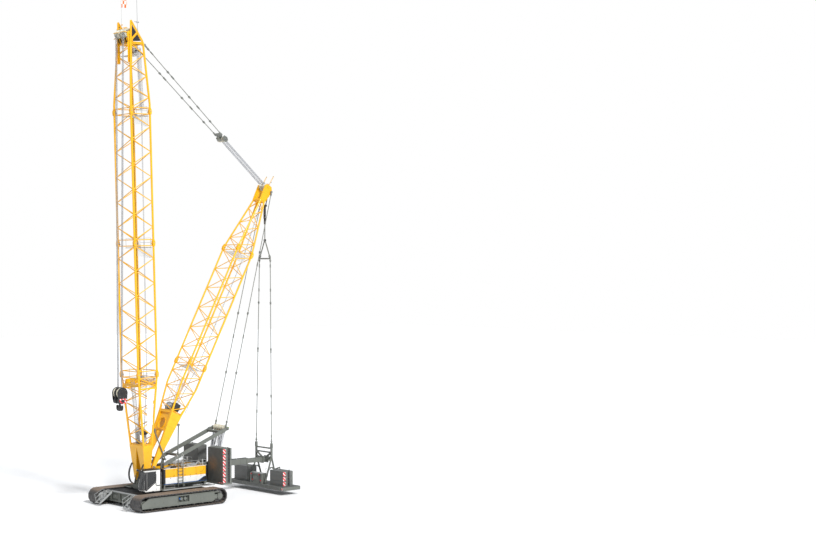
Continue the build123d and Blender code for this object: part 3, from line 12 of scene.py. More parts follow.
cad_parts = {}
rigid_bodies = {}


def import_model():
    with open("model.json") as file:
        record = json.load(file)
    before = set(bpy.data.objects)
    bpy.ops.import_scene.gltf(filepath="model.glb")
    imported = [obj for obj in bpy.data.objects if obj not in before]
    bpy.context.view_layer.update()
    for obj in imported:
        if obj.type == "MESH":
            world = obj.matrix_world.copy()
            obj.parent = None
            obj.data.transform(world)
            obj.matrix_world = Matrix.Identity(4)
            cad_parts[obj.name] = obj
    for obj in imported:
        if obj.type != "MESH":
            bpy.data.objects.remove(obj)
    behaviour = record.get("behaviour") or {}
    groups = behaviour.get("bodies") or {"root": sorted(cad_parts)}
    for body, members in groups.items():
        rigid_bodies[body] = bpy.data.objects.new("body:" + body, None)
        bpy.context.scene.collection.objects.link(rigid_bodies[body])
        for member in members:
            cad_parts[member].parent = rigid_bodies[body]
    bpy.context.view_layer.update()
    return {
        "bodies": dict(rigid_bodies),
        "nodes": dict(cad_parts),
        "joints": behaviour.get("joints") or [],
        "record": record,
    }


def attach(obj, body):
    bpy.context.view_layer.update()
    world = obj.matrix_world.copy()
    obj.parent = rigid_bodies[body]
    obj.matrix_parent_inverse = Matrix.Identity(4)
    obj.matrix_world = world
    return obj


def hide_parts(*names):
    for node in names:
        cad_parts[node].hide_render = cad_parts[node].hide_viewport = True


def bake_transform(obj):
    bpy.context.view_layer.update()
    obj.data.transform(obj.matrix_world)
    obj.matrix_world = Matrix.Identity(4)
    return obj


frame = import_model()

# ------------------------------------------------ camera, light, floor
CAMERA_AT = (41.159, 61.856, 11.145)
LOOKS_ALONG = (-0.6772, -0.7358, -0.00332)
UP, LEFT, AHEAD = (0, 0, 1), (0, 1, 0), (1, 0, 0)
FOCAL_LENGTH, SENSOR_WIDTH = 69.875, 36
SUN_SHINES_ALONG, SUN_STRENGTH, SUN_WIDTH = (-0.1, -0.8, -0.66), 3.1, 9
ROOM_COLOUR, ROOM_STRENGTH, FLOOR_HALF = (0.93, 0.96, 1, 1), 0.62, 150


def set_down(name, data):
    """A new object that shows this data."""
    thing = bpy.data.objects.new(name, data)
    bpy.context.scene.collection.objects.link(thing)
    return thing


def turned_towards(direction):
    """The turn that points a camera or a lamp in a direction."""
    return Vector(direction).to_track_quat("-Z", "Y").to_euler()


def white_room():
    """Even, slightly cool light from all round; plain white where the camera looks past the floor."""
    world = bpy.data.worlds.new("white_room")
    world.use_nodes = True
    bpy.context.scene.world = world
    tree = world.node_tree
    backdrop, light = tree.nodes["Background"], tree.nodes.new("ShaderNodeBackground")
    backdrop.inputs["Color"].default_value = (1, 1, 1, 1)
    backdrop.inputs["Strength"].default_value = 1.0
    light.inputs["Color"].default_value = ROOM_COLOUR
    light.inputs["Strength"].default_value = ROOM_STRENGTH
    path, choose = tree.nodes.new("ShaderNodeLightPath"), tree.nodes.new("ShaderNodeMixShader")
    tree.links.new(path.outputs["Is Camera Ray"], choose.inputs["Fac"])
    tree.links.new(light.outputs["Background"], choose.inputs[1])
    tree.links.new(backdrop.outputs["Background"], choose.inputs[2])
    tree.links.new(choose.outputs["Shader"], tree.nodes["World Output"].inputs["Surface"])


def pale_floor():
    """A wide matt floor, nearly white."""
    mesh = bpy.data.meshes.new("floor")
    mesh.from_pydata([(x * FLOOR_HALF, y * FLOOR_HALF, 0) for x, y in ((-1, -1), (1, -1), (1, 1), (-1, 1))], [],
        [(0, 1, 2, 3)])
    pale = bpy.data.materials.new("pale_floor")
    pale.use_nodes = True
    pale.node_tree.nodes["Principled BSDF"].inputs["Base Color"].default_value = (0.97, 0.97, 0.97, 1)
    pale.node_tree.nodes["Principled BSDF"].inputs["Roughness"].default_value = 0.9
    mesh.materials.append(pale)
    return set_down("floor", mesh)


def set_the_stage():
    """A white room: camera, one sun from the driver's side, even light from all round, pale floor."""
    lens = bpy.data.cameras.new("camera")
    lens.lens, lens.sensor_width = FOCAL_LENGTH, SENSOR_WIDTH
    lens.clip_start, lens.clip_end = 1, 2000
    camera = set_down("camera", lens)
    camera.location, camera.rotation_euler = CAMERA_AT, turned_towards(LOOKS_ALONG)
    bpy.context.scene.camera = camera
    sun = bpy.data.lights.new("sun", "SUN")
    sun.energy, sun.angle = SUN_STRENGTH, radians(SUN_WIDTH)
    set_down("sun", sun).rotation_euler = turned_towards(SUN_SHINES_ALONG)
    white_room()
    bpy.context.scene.view_settings.view_transform = "Standard"
    floor = pale_floor()


set_the_stage()


# ------------------------------------------------ finishes
def is_socket(value):
    return isinstance(value, bpy.types.NodeSocket)


class Tree:
    """A node tree, with helpers that add a node and fill or link its inputs."""

    def add(self, kind, settings=(), **values):
        node = self.tree.nodes.new(kind)
        for key, value in dict(settings).items():
            setattr(node, key, value)
        for key, value in values.items():
            self.put(node.inputs[key.replace("_", " ")], value)
        return node

    def put(self, socket, value):
        if is_socket(value):
            self.tree.links.new(value, socket)
        else:
            socket.default_value = value


class Finish(Tree):
    """One procedural material: small helpers around its node tree."""

    def __init__(self, name, roughness=0.5, metallic=0.0):
        self.material = bpy.data.materials.new(name)
        self.material.use_nodes = True
        self.tree = self.material.node_tree
        self.shader = self.tree.nodes["Principled BSDF"]
        self.shader.inputs["Roughness"].default_value = roughness
        self.shader.inputs["Metallic"].default_value = metallic
        self.place = self.add("ShaderNodeTexCoord").outputs["Object"]

    def stretched(self, x, y, z):
        """The object's own coordinates, scaled along each axis."""
        return self.add("ShaderNodeMapping", Vector=self.place, Scale=(x, y, z)).outputs["Vector"]

    def noise(self, scale, detail=4.0, where=None):
        node = self.add("ShaderNodeTexNoise", Scale=scale, Detail=detail, Roughness=0.6,
            Vector=where or self.place)
        return node.outputs["Fac"]

    def bands(self, direction, scale, where=None):
        """Parallel waves along one direction."""
        node = self.add("ShaderNodeTexWave", {"wave_type": "BANDS", "bands_direction": direction}, Scale=scale,
            Vector=where or self.place)
        return node.outputs["Fac"]

    def ramp(self, value, low, high, to_low=0.0, to_high=1.0):
        node = self.add("ShaderNodeMapRange")
        for key, entry in (("Value", value), ("From Min", low), ("From Max", high), ("To Min", to_low),
                ("To Max", to_high)):
            self.put(node.inputs[key], entry)
        return node.outputs["Result"]

    def sum(self, kind, a, b):
        node = self.add("ShaderNodeMath", {"operation": kind})
        self.put(node.inputs[0], a)
        self.put(node.inputs[1], b)
        return node.outputs[0]

    def blend(self, share, a, b):
        node = self.add("ShaderNodeMix", {"data_type": "RGBA"})
        self.put(node.inputs[0], share)
        for socket, value in ((node.inputs[6], a), (node.inputs[7], b)):
            self.put(socket, value if is_socket(value) else (*value, 1))
        return node.outputs[2]

    def bump(self, height, distance, strength=1.0):
        node = self.add("ShaderNodeBump", Height=height, Distance=distance, Strength=strength)
        if self.shader.inputs["Normal"].is_linked:
            self.put(node.inputs["Normal"], self.shader.inputs["Normal"].links[0].from_socket)
        self.put(self.shader.inputs["Normal"], node.outputs["Normal"])

    def colour(self, value):
        self.put(self.shader.inputs["Base Color"], value if is_socket(value) else (*value, 1))

    def rough(self, value):
        self.put(self.shader.inputs["Roughness"], value)


def darker(colour, by):
    return tuple(c * by for c in colour)


def paint(name, colour, gloss=0.35, grime=0.25, grime_colour=(0.16, 0.13, 0.09), coat=0.15):
    """Sprayed paint: slight change of tone, rain streaks, dust in soft patches, orange-peel skin."""
    f = Finish(name)
    tone = f.ramp(f.noise(1.3, 3.0), 0.35, 0.65)
    base = f.blend(tone, colour, darker(colour, 0.9))
    streaks = f.noise(3.0, 6.0, f.stretched(3.0, 3.0, 0.35))
    patches = f.noise(2.2, 8.0)
    dirt = f.sum("MULTIPLY", f.ramp(streaks, 0.5, 0.78), f.ramp(patches, 0.42, 0.72))
    base = f.blend(f.sum("MULTIPLY", dirt, grime), base, grime_colour)
    fine = f.noise(60.0, 3.0)
    base = f.blend(f.ramp(fine, 0.6, 0.8, 0.0, grime * 0.35), base, darker(colour, 0.55))
    f.colour(base)
    f.rough(f.sum("ADD", f.ramp(patches, 0.3, 0.7, gloss - 0.06, gloss + 0.08), f.sum("MULTIPLY", dirt, 0.3)))
    f.bump(f.noise(420.0, 2.0), 0.0004, 0.25)
    f.shader.inputs["Coat Weight"].default_value = coat
    f.shader.inputs["Coat Roughness"].default_value = 0.12
    return f


def stained(name, colour, place, reach, rust=(0.3, 0.16, 0.07)):
    """Dull paint with one soft rust stain round a place."""
    f = Finish(name, roughness=0.6)
    gap = f.add("ShaderNodeVectorMath", {"operation": "DISTANCE"})
    f.put(gap.inputs[0], f.place)
    gap.inputs[1].default_value = place
    near = f.ramp(gap.outputs["Value"], reach * 0.2, reach, 1.0, 0.0)
    patch = f.sum("MULTIPLY", near, f.ramp(f.noise(5.0, 7.0), 0.32, 0.62, 0.1, 0.75))
    tone = f.blend(f.ramp(f.noise(1.1, 4.0), 0.3, 0.7), colour, darker(colour, 0.8))
    f.colour(f.blend(patch, tone, rust))
    f.rough(f.ramp(f.noise(4.0, 5.0), 0.3, 0.7, 0.5, 0.72))
    f.bump(f.noise(200.0, 3.0), 0.0005, 0.4)
    return f


def bare_steel(name, colour, dust, roughness=0.55, metallic=0.6, dust_on_top=0.75):
    """Worked steel: scratched and rust-flecked, with dust that lies on the faces that look up."""
    f = Finish(name, metallic=metallic)
    wear = f.noise(9.0, 8.0)
    flecks = f.noise(38.0, 6.0)
    base = f.blend(f.ramp(wear, 0.35, 0.7), colour, darker(colour, 0.55))
    base = f.blend(f.ramp(flecks, 0.56, 0.72, 0.0, 0.15), base, (0.15, 0.09, 0.055))
    up = f.add("ShaderNodeSeparateXYZ",
        Vector=f.tree.nodes["Texture Coordinate"].outputs["Normal"]).outputs["Z"]
    lying = f.sum("MULTIPLY", f.ramp(up, 0.62, 0.98), f.ramp(f.noise(5.0, 5.0), 0.25, 0.6, 0.45, 1.0))
    base = f.blend(f.sum("MULTIPLY", lying, dust_on_top), base, dust)
    f.colour(base)
    f.rough(f.sum("ADD", f.ramp(wear, 0.3, 0.7, roughness - 0.12, roughness + 0.1),
        f.sum("MULTIPLY", lying, 0.25)))
    f.bump(flecks, 0.0015, 0.5)
    f.bump(f.noise(160.0, 4.0), 0.0006, 0.6)
    return f


def wire_rope(name, colour):
    """Greased wire rope: strands that wind round it."""
    f = Finish(name, roughness=0.42, metallic=0.75)
    strands = f.bands("DIAGONAL", 26.0, f.stretched(1.6, 1.6, 1.0))
    base = f.blend(strands, darker(colour, 0.45), colour)
    f.colour(f.blend(f.ramp(f.noise(4.0, 4.0), 0.4, 0.7, 0.0, 0.35), base, (0.06, 0.055, 0.05)))
    f.bump(strands, 0.0016)
    return f


def tinted_glass():
    f = Finish("tinted_glass", roughness=0.05)
    f.colour(f.blend(f.ramp(f.noise(2.0, 3.0), 0.3, 0.7), (0.03, 0.032, 0.034), (0.045, 0.047, 0.05)))
    f.shader.inputs["Transmission Weight"].default_value = 0.45
    f.shader.inputs["IOR"].default_value = 1.5
    f.rough(f.ramp(f.noise(7.0, 6.0), 0.4, 0.8, 0.03, 0.16))
    return f


def hazard(name, red, white, width, red_share=0.64):
    """Slanting red and white bands, as on the edges of heavy loads."""
    f = Finish(name, roughness=0.42)
    part = f.add("ShaderNodeSeparateXYZ", Vector=f.place)
    along = f.sum("ADD", part.outputs["X"], part.outputs["Y"])
    slant = f.sum("SUBTRACT", along, part.outputs["Z"])
    wave = f.sum("FRACT", f.sum("MULTIPLY", slant, 0.5 / width), 0.0)
    band = f.sum("GREATER_THAN", wave, 1 - red_share)
    worn = f.ramp(f.noise(30.0, 7.0), 0.58, 0.72, 0.0, 0.5)
    f.colour(f.blend(worn, f.blend(band, white, red), (0.32, 0.29, 0.26)))
    f.bump(f.noise(300.0, 3.0), 0.0004, 0.4)
    return f


def rubber(name, colour=(0.018, 0.018, 0.019), ribs=0.0):
    f = Finish(name, roughness=0.62)
    f.colour(f.blend(f.ramp(f.noise(14.0, 6.0), 0.4, 0.7), colour, tuple(c + 0.03 for c in colour)))
    f.rough(f.ramp(f.noise(25.0, 4.0), 0.3, 0.7, 0.5, 0.75))
    f.bump(f.noise(240.0, 5.0), 0.0006, 0.5)
    if ribs:
        f.bump(f.bands("Z", ribs), 0.004)
    return f


def cast_plastic(name, colour):
    """Satin cast nylon with fine turning marks and greasy patches."""
    f = Finish(name, roughness=0.4)
    f.colour(f.blend(f.ramp(f.noise(6.0, 6.0), 0.45, 0.75, 0.0, 0.6), colour, (0.45, 0.38, 0.24)))
    f.rough(f.ramp(f.noise(12.0, 4.0), 0.3, 0.7, 0.3, 0.5))
    f.bump(f.noise(220.0, 2.0), 0.0004, 0.4)
    f.shader.inputs["Subsurface Weight"].default_value = 0.05
    return f


def checked_cloth():
    """Woven flag cloth in orange and white squares."""
    f = Finish("flag_weave", roughness=0.85)
    squares = f.add("ShaderNodeMapping", Vector=f.place, Location=FLAG_GRID_AT, Scale=FLAG_GRID_SCALE)
    check = f.add("ShaderNodeTexChecker", Scale=1.0, Color1=(0.86, 0.15, 0.025, 1),
        Color2=(0.85, 0.84, 0.82, 1), Vector=squares.outputs["Vector"])
    f.colour(f.blend(f.ramp(f.noise(9.0, 5.0), 0.4, 0.8, 0.0, 0.25), check.outputs["Color"], (0.4, 0.3, 0.22)))
    for direction in ("X", "Z"):
        f.bump(f.bands(direction, 160.0), 0.0008, 0.6)
    f.shader.inputs["Sheen Weight"].default_value = 0.3
    return f


def seat_cloth():
    f = Finish("seat_weave", roughness=0.9)
    f.colour(f.blend(f.ramp(f.noise(90.0, 3.0), 0.4, 0.6), (0.035, 0.036, 0.04), (0.07, 0.072, 0.078)))
    f.bump(f.noise(500.0, 2.0), 0.0008)
    f.shader.inputs["Sheen Weight"].default_value = 0.4
    return f


def tread_plate():
    """Black anti-slip deck plate: raised grains over dusty paint."""
    f = Finish("deck_grip", roughness=0.75)
    grains = f.add("ShaderNodeTexVoronoi", Scale=70.0, Vector=f.place)
    knobs = f.ramp(grains.outputs["Distance"], 0.15, 0.45, 1.0, 0.0)
    dust = f.ramp(f.noise(1.6, 7.0), 0.48, 0.8, 0.0, 0.15)
    f.colour(f.blend(dust, (0.012, 0.012, 0.013), (0.13, 0.12, 0.105)))
    f.rough(f.ramp(f.noise(5.0, 5.0), 0.3, 0.7, 0.6, 0.85))
    f.bump(knobs, 0.002)
    return f


def lamp_lens(name, colour):
    f = Finish(name, roughness=0.15)
    rings = f.bands("Z", 60.0)
    f.colour(f.blend(rings, colour, darker(colour, 0.7)))
    f.bump(rings, 0.001)
    f.shader.inputs["Coat Weight"].default_value = 1.0
    return f


FLAG_GRID_AT, FLAG_GRID_SCALE = (-13.05, 0.0, -137.2), (10.0, 0.001, 6.0)
YELLOW = paint("boom_yellow", (0.93, 0.475, 0.004), 0.34, 0.22)
FRAME = paint("frame_grey", (0.15, 0.16, 0.142), 0.45, 0.35, (0.2, 0.18, 0.14), 0.05)
CHASSIS = paint("chassis_grey", (0.14, 0.15, 0.132), 0.5, 0.45, (0.22, 0.18, 0.12), 0.0)
WEIGHT_GREY = paint("weight_grey", (0.118, 0.122, 0.118), 0.55, 0.4, (0.2, 0.18, 0.15), 0.0)
STAINED_GREY = stained("stained_grey", (0.098, 0.102, 0.098), (-2.55, 0.8, 1.7), 0.45)
HOUSE = paint("house_white", (0.83, 0.83, 0.81), 0.3, 0.2, (0.3, 0.27, 0.22))
CAB = paint("cab_white", (0.85, 0.85, 0.83), 0.25, 0.15, (0.3, 0.27, 0.22))
BLACK = paint("satin_black", (0.018, 0.018, 0.02), 0.42, 0.3, (0.12, 0.11, 0.09), 0.1)
RAIL = paint("rail_grey", (0.36, 0.37, 0.365), 0.42, 0.3, (0.25, 0.2, 0.14), 0.0)
MESH = paint("mesh_grey", (0.6, 0.61, 0.6), 0.5, 0.25, (0.28, 0.24, 0.18), 0.0)
TRIM_BLUE = paint("trim_blue", (0.02, 0.13, 0.42), 0.35, 0.15)
BANNER_WHITE = paint("banner_white", (0.82, 0.82, 0.8), 0.45, 0.22, (0.3, 0.27, 0.22), 0.0)
SIGNAL_RED = paint("signal_red", (0.6, 0.02, 0.02), 0.35, 0.2)
TRACK_METAL = bare_steel("track_steel", (0.108, 0.105, 0.104), (0.4, 0.3, 0.225))
# car body paint: a grey made darker as painted shade for the car body under the superstructure
CAR_GREY_AND_SHADE = paint("car_grey_and_shade", (0.088, 0.095, 0.082), 0.5, 0.2)
STEEL = bare_steel("worn_steel", (0.3, 0.3, 0.3), (0.3, 0.25, 0.19), 0.42, 0.85, 0.3)
FORGED = bare_steel("forged_black", (0.045, 0.045, 0.047), (0.14, 0.12, 0.1), 0.48, 0.5, 0.25)
ROPE = wire_rope("wire_rope", (0.4, 0.41, 0.43))
PALE_ROPE = wire_rope("pale_wire_rope", (0.62, 0.64, 0.68))
GLASS = tinted_glass()
HAZARD = hazard("hazard_bands", (0.74, 0.022, 0.034), (0.8, 0.79, 0.77), 0.08)
HOSE = rubber("hose_rubber", ribs=22.0)
SHEAVE = cast_plastic("sheave_nylon", (0.56, 0.54, 0.44))
PENDANT = paint("pendant_grey", (0.185, 0.195, 0.175), 0.45, 0.25, (0.2, 0.18, 0.14), 0.0)
PLASTIC = rubber("grained_plastic", (0.035, 0.035, 0.038))
SEAT_CLOTH = seat_cloth()
FLAG_CLOTH = checked_cloth()
DECK_GRIP = tread_plate()
AMBER_LENS = lamp_lens("amber_lens", (0.9, 0.32, 0.02))
GREEN_LENS = lamp_lens("green_lens", (0.02, 0.42, 0.05))
RED_LENS = lamp_lens("red_lens", (0.55, 0.01, 0.01))
CLEAR_LENS = lamp_lens("clear_lens", (0.75, 0.76, 0.74))


# ------------------------------------------------ making pieces
class Shapes:
    """Gathers closed shapes, each with its finish, into one piece."""

    def __init__(self, place=None, finish=None):
        self.points, self.faces, self.marks, self.finishes = [], [], [], []
        self.place, self.finish = place or Matrix(), finish

    def add(self, points, faces, finish=None, place=None):
        """Adds one shape in a finish, or in the piece's own."""
        base, place, finish = len(self.points), self.place @ (place or Matrix()), finish or self.finish
        self.points += [place @ Vector(p) for p in points]
        self.faces += [[base + i for i in face] for face in faces]
        if finish not in self.finishes:
            self.finishes.append(finish)
        self.marks += [self.finishes.index(finish)] * len(faces)

    def box(self, x, y, z, finish=None, edge=0.004):
        """A block between x = (low, high) and so on, its edges broken."""
        low = [min(x), min(y), min(z)]
        high = [max(x), max(y), max(z)]
        cut = min([edge] + [(b - a) * 0.3 for a, b in zip(low, high)])
        points, index = [], {}
        for corner in range(8):
            signs = [corner >> k & 1 for k in range(3)]
            for axis in range(3):
                p = [(high[k] if signs[k] else low[k]) for k in range(3)]
                for k in range(3):
                    if k != axis:
                        p[k] += -cut if signs[k] else cut
                index[corner, axis] = len(points)
                points.append(p)
        faces = [[index[c, a] for a in range(3)] for c in range(8)]
        for axis in range(3):
            u, v = [k for k in range(3) if k != axis]
            for side in (0, 1):
                ring = [side << axis | a << u | b << v for a, b in ((0, 0), (1, 0), (1, 1), (0, 1))]
                faces.append([index[c, axis] for c in ring])
            for a in (0, 1):
                for b in (0, 1):
                    c0 = a << u | b << v
                    c1 = c0 | 1 << axis
                    faces.append([index[c0, u], index[c0, v], index[c1, v], index[c1, u]])
        self.add(points, faces, finish)

    def plate(self, outline, axis, span, finish=None, edge=0.0):
        """An outline, given in the two other axes, made as thick as span along axis."""
        def at(p, depth):
            v = [p[0], p[1]]
            v.insert("xyz".index(axis), depth)
            return v
        n = len(outline)
        if edge:
            middle = [sum(p[k] for p in outline) / n for k in (0, 1)]
            small = [[p[k] + (middle[k] - p[k]) * min(0.5, edge / max(1e-6,
                hypot(p[0] - middle[0], p[1] - middle[1]))) for k in (0, 1)] for p in outline]
            step = edge if span[1] > span[0] else -edge
            rings = [(small, span[0]), (outline, span[0] + step), (outline, span[1] - step), (small, span[1])]
        else:
            rings = [(outline, span[0]), (outline, span[1])]
        points = [at(p, depth) for ring, depth in rings for p in ring]
        faces = [list(range(n)), list(range((len(rings) - 1) * n, len(rings) * n))]
        for r in range(len(rings) - 1):
            faces += [[r * n + i, r * n + (i + 1) % n, (r + 1) * n + (i + 1) % n, (r + 1) * n + i]
                for i in range(n)]
        self.add(points, faces, finish)

    def turned(self, start, along, profile, finish=None, sides=24, ring=False):
        """A turned shape: profile is (distance along the axis, radius), closed by end faces or as a ring."""
        start, along = Vector(start), Vector(along).normalized()
        side = along.orthogonal().normalized()
        other = along.cross(side)
        points = []
        for a, r in profile:
            points += [start + along * a + (side * cos(t) + other * sin(t)) * r
                for t in [2 * pi * k / sides for k in range(sides)]]
        n = sides
        rows = len(profile)
        faces = [] if ring else [list(range(n)), list(range((rows - 1) * n, rows * n))]
        for r in range(rows if ring else rows - 1):
            low, high = r * n, (r + 1) % rows * n
            faces += [[low + i, low + (i + 1) % n, high + (i + 1) % n, high + i] for i in range(n)]
        self.add(points, faces, finish)

    def rod(self, a, b, radius, finish=None, sides=12):
        """A round bar with broken edges at both ends."""
        a, b = Vector(a), Vector(b)
        length = (b - a).length
        cut = min(radius * 0.25, length * 0.2)
        self.turned(a, b - a, [(0, radius - cut), (cut, radius), (length - cut, radius),
            (length, radius - cut)], finish, sides)

    def bolt(self, at, out, size, finish=None):
        """A hexagon head on a washer."""
        finish = finish or STEEL
        self.turned(at, out, [(0, size * 1.35), (size * 0.15, size * 1.35)], finish, 12)
        self.turned(Vector(at) + Vector(out).normalized() * size * 0.15, out,
            [(0, size), (size * 0.6, size), (size * 0.75, size * 0.8)], finish, 6)

    def bolt_circle(self, centre, radius, count, out, size, start=0.0):
        """Bolts evenly spaced round a centre, their heads towards out (1 or -1) along Y."""
        for t in [start + 2 * pi * k / count for k in range(count)]:
            self.bolt((centre[0] + radius * cos(t), centre[1], centre[2] + radius * sin(t)), (0, out, 0), size)

    def beam(self, a, b, width, height, finish=None, up=UP):
        """A straight rectangular bar between two points."""
        a, b = Vector(a), Vector(b)
        along = (b - a).normalized()
        side = along.cross(Vector(up))
        if side.length < 1e-4:
            side = along.cross(Vector(AHEAD))
        side.normalize()
        over = side.cross(along)
        ring = [side * sx * width / 2 + over * sz * height / 2 for sx, sz in ((1, 1), (-1, 1), (-1, -1),
            (1, -1))]
        points = [a + r for r in ring] + [b + r for r in ring]
        self.add(points, [[0, 1, 2, 3], [4, 5, 6, 7]] + [[i, (i + 1) % 4, (i + 1) % 4 + 4, i + 4]
            for i in range(4)], finish)

    def mirrored(self):
        """The same shapes again on the other side of the machine."""
        base, points, faces, marks = len(self.points), list(self.points), list(self.faces), list(self.marks)
        self.points += [Vector((p[0], -p[1], p[2])) for p in points]
        self.faces += [[base + i for i in reversed(face)] for face in faces]
        self.marks += marks
        return self

    def take(self, mesh, finish=None, place=None):
        """Adds a finished mesh, set down at a place."""
        self.add([v.co for v in mesh.vertices], [list(p.vertices) for p in mesh.polygons], finish, place)

    def tubes(self, lines, radius, finish=None, sides=8, place=None):
        """Round tubes along lines."""
        finish = finish or self.finish
        self.take(pipes(lines, radius, finish, sides), finish, place)

    def mesh(self, name):
        """All that was gathered as one mesh, its faces outward."""
        mesh = bpy.data.meshes.new(name)
        mesh.from_pydata(self.points, [], self.faces)
        for finish in self.finishes:
            mesh.materials.append(finish.material)
        mesh.polygons.foreach_set("material_index", self.marks)
        work = bmesh.new()
        work.from_mesh(mesh)
        bmesh.ops.recalc_face_normals(work, faces=work.faces)
        work.to_mesh(mesh)
        work.free()
        return mesh

    def piece(self, name, body, slot, replaced=(), smooth=38):
        """Turns what was gathered into a piece that rides on a body."""
        return settle(name, self.mesh(name), body, replaced, smooth)


def about(middle, reach):
    """The two places at one distance on both sides of a middle."""
    return (middle - reach, middle + reach)


def rectangle(left, right, low, high):
    return [(left, low), (right, low), (right, high), (left, high)]


def tapered(middle, half_low, low, half_high, high):
    """Outline of a plate that stands evenly about its middle."""
    return [(middle - half_low, low), (middle + half_low, low), (middle + half_high, high),
        (middle - half_high, high)]


def settle(name, mesh, body, replaced=(), smooth=38):
    """Gives a finished mesh its shading, its body and the solids that it stands for."""
    mesh.polygons.foreach_set("use_smooth", [True] * len(mesh.polygons))
    mesh.set_sharp_from_angle(angle=radians(smooth))
    thing = set_down(name, mesh)
    if body:
        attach(thing, body)
    if replaced:
        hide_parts(*replaced)
    return thing


# ------------------------------------------------ node trees for what repeats
class Works(Tree):
    """A Geometry Nodes tree with named inputs."""

    def __init__(self, name, **inputs):
        self.tree = bpy.data.node_groups.new(name, "GeometryNodeTree")
        for side in ("INPUT", "OUTPUT"):
            self.tree.interface.new_socket("Geometry", in_out=side, socket_type="NodeSocketGeometry")
        self.sockets = {}
        for label, kind in inputs.items():
            socket = self.tree.interface.new_socket(label, in_out="INPUT", socket_type="NodeSocket" + kind)
            self.sockets[label] = socket.identifier
        self.entry = self.tree.nodes.new("NodeGroupInput").outputs
        self.exit = self.tree.nodes.new("NodeGroupOutput")

    def close(self, geometry):
        """Every tree ends in real mesh with its finish set."""
        real = self.add("GeometryNodeRealizeInstances", Geometry=geometry)
        finished = self.add("GeometryNodeSetMaterial", Geometry=real.outputs[0], Material=self.entry["Finish"])
        self.tree.links.new(finished.outputs[0], self.exit.inputs[0])
        return self

    def run(self, mesh, **values):
        """The plain mesh that the tree makes out of this one."""
        holder = set_down("work", mesh)
        modifier = holder.modifiers.new("work", "NODES")
        modifier.node_group = self.tree
        for label, value in values.items():
            modifier[self.sockets[label]] = value.material if isinstance(value, Finish) else value
        ready = holder.evaluated_get(bpy.context.evaluated_depsgraph_get())
        result = bpy.data.meshes.new_from_object(ready)
        holder.modifiers.remove(modifier)
        drop(holder)
        return result


def pipe_works():
    """Round tubes along every edge or chain of edges."""
    w = Works("pipes", Radius="Float", Sides="Int", Finish="Material")
    path = w.add("GeometryNodeMeshToCurve", Mesh=w.entry["Geometry"])
    ring = w.add("GeometryNodeCurvePrimitiveCircle", Resolution=w.entry["Sides"], Radius=w.entry["Radius"])
    tube = w.add("GeometryNodeCurveToMesh", Curve=path.outputs[0], Profile_Curve=ring.outputs[0],
        Fill_Caps=True)
    return w.close(tube.outputs[0])


def copy_works():
    """A pattern set down at every point, turned as the point says."""
    w = Works("copies", Pattern="Object", Finish="Material")
    pattern = w.add("GeometryNodeObjectInfo", Object=w.entry["Pattern"])
    turn = w.add("GeometryNodeInputNamedAttribute", {"data_type": "FLOAT_VECTOR"}, Name="turn")
    rotation = w.add("FunctionNodeEulerToRotation", Euler=turn.outputs[0])
    copies = w.add("GeometryNodeInstanceOnPoints", Points=w.entry["Geometry"],
        Instance=pattern.outputs["Geometry"], Rotation=rotation.outputs[0])
    return w.close(copies.outputs[0])


def track_works():
    """Shoes spaced evenly round the closed path of a track."""
    w = Works("track_shoes", Length="Float", Height="Float", Count="Int", Shoe="Object", Finish="Material")
    frame_path = w.add("GeometryNodeCurvePrimitiveQuadrilateral", {"mode": "RECTANGLE"},
        Width=w.entry["Length"], Height=w.entry["Height"])
    half = w.add("ShaderNodeMath", {"operation": "MULTIPLY"})
    w.put(half.inputs[0], w.entry["Height"])
    w.put(half.inputs[1], 0.4999)
    rounded = w.add("GeometryNodeFilletCurve", {"mode": "POLY"}, Curve=frame_path.outputs[0],
        Radius=half.outputs[0], Count=16)
    upright = w.add("GeometryNodeTransform", Geometry=rounded.outputs[0], Rotation=(pi / 2, 0, 0))
    spaced = w.add("GeometryNodeResampleCurve", Curve=upright.outputs[0], Count=w.entry["Count"])
    tangent = w.add("GeometryNodeInputTangent")
    turn = w.add("FunctionNodeAlignRotationToVector", {"axis": "X", "pivot_axis": "Y"},
        Vector=tangent.outputs[0])
    shoe = w.add("GeometryNodeObjectInfo", Object=w.entry["Shoe"])
    copies = w.add("GeometryNodeInstanceOnPoints", Points=spaced.outputs[0], Instance=shoe.outputs["Geometry"],
        Rotation=turn.outputs[0])
    return w.close(copies.outputs[0])


def grating_works():
    """Open bar grating: crossing flat bars over a rectangle."""
    w = Works("grating", Length="Float", Width="Float", Along="Int", Across="Int", Bar="Float",
        Finish="Material")
    grid = w.add("GeometryNodeMeshGrid", Size_X=w.entry["Length"], Size_Y=w.entry["Width"],
        Vertices_X=w.entry["Along"], Vertices_Y=w.entry["Across"])
    lines = w.add("GeometryNodeMeshToCurve", Mesh=grid.outputs[0])
    ring = w.add("GeometryNodeCurvePrimitiveCircle", Radius=w.entry["Bar"], Resolution=4)
    bars = w.add("GeometryNodeCurveToMesh", Curve=lines.outputs[0], Profile_Curve=ring.outputs[0],
        Fill_Caps=True)
    return w.close(bars.outputs[0])


PIPES, COPIES, TRACK, GRATING = pipe_works(), copy_works(), track_works(), grating_works()


def chains(lines):
    """A mesh of separate chains of edges, each through its points."""
    points, edges = [], []
    for line in lines:
        base = len(points)
        points += [Vector(p) for p in line]
        edges += [(base + i, base + i + 1) for i in range(len(line) - 1)]
    mesh = bpy.data.meshes.new("lines")
    mesh.from_pydata(points, edges, [])
    return mesh


def pipes(lines, radius, finish, sides=12):
    return PIPES.run(chains(lines), Radius=radius, Sides=sides, Finish=finish)


def grating(length, width, along, across, bar, finish):
    return GRATING.run(bpy.data.meshes.new("start"), Length=length, Width=width, Along=along, Across=across,
        Bar=bar, Finish=finish)


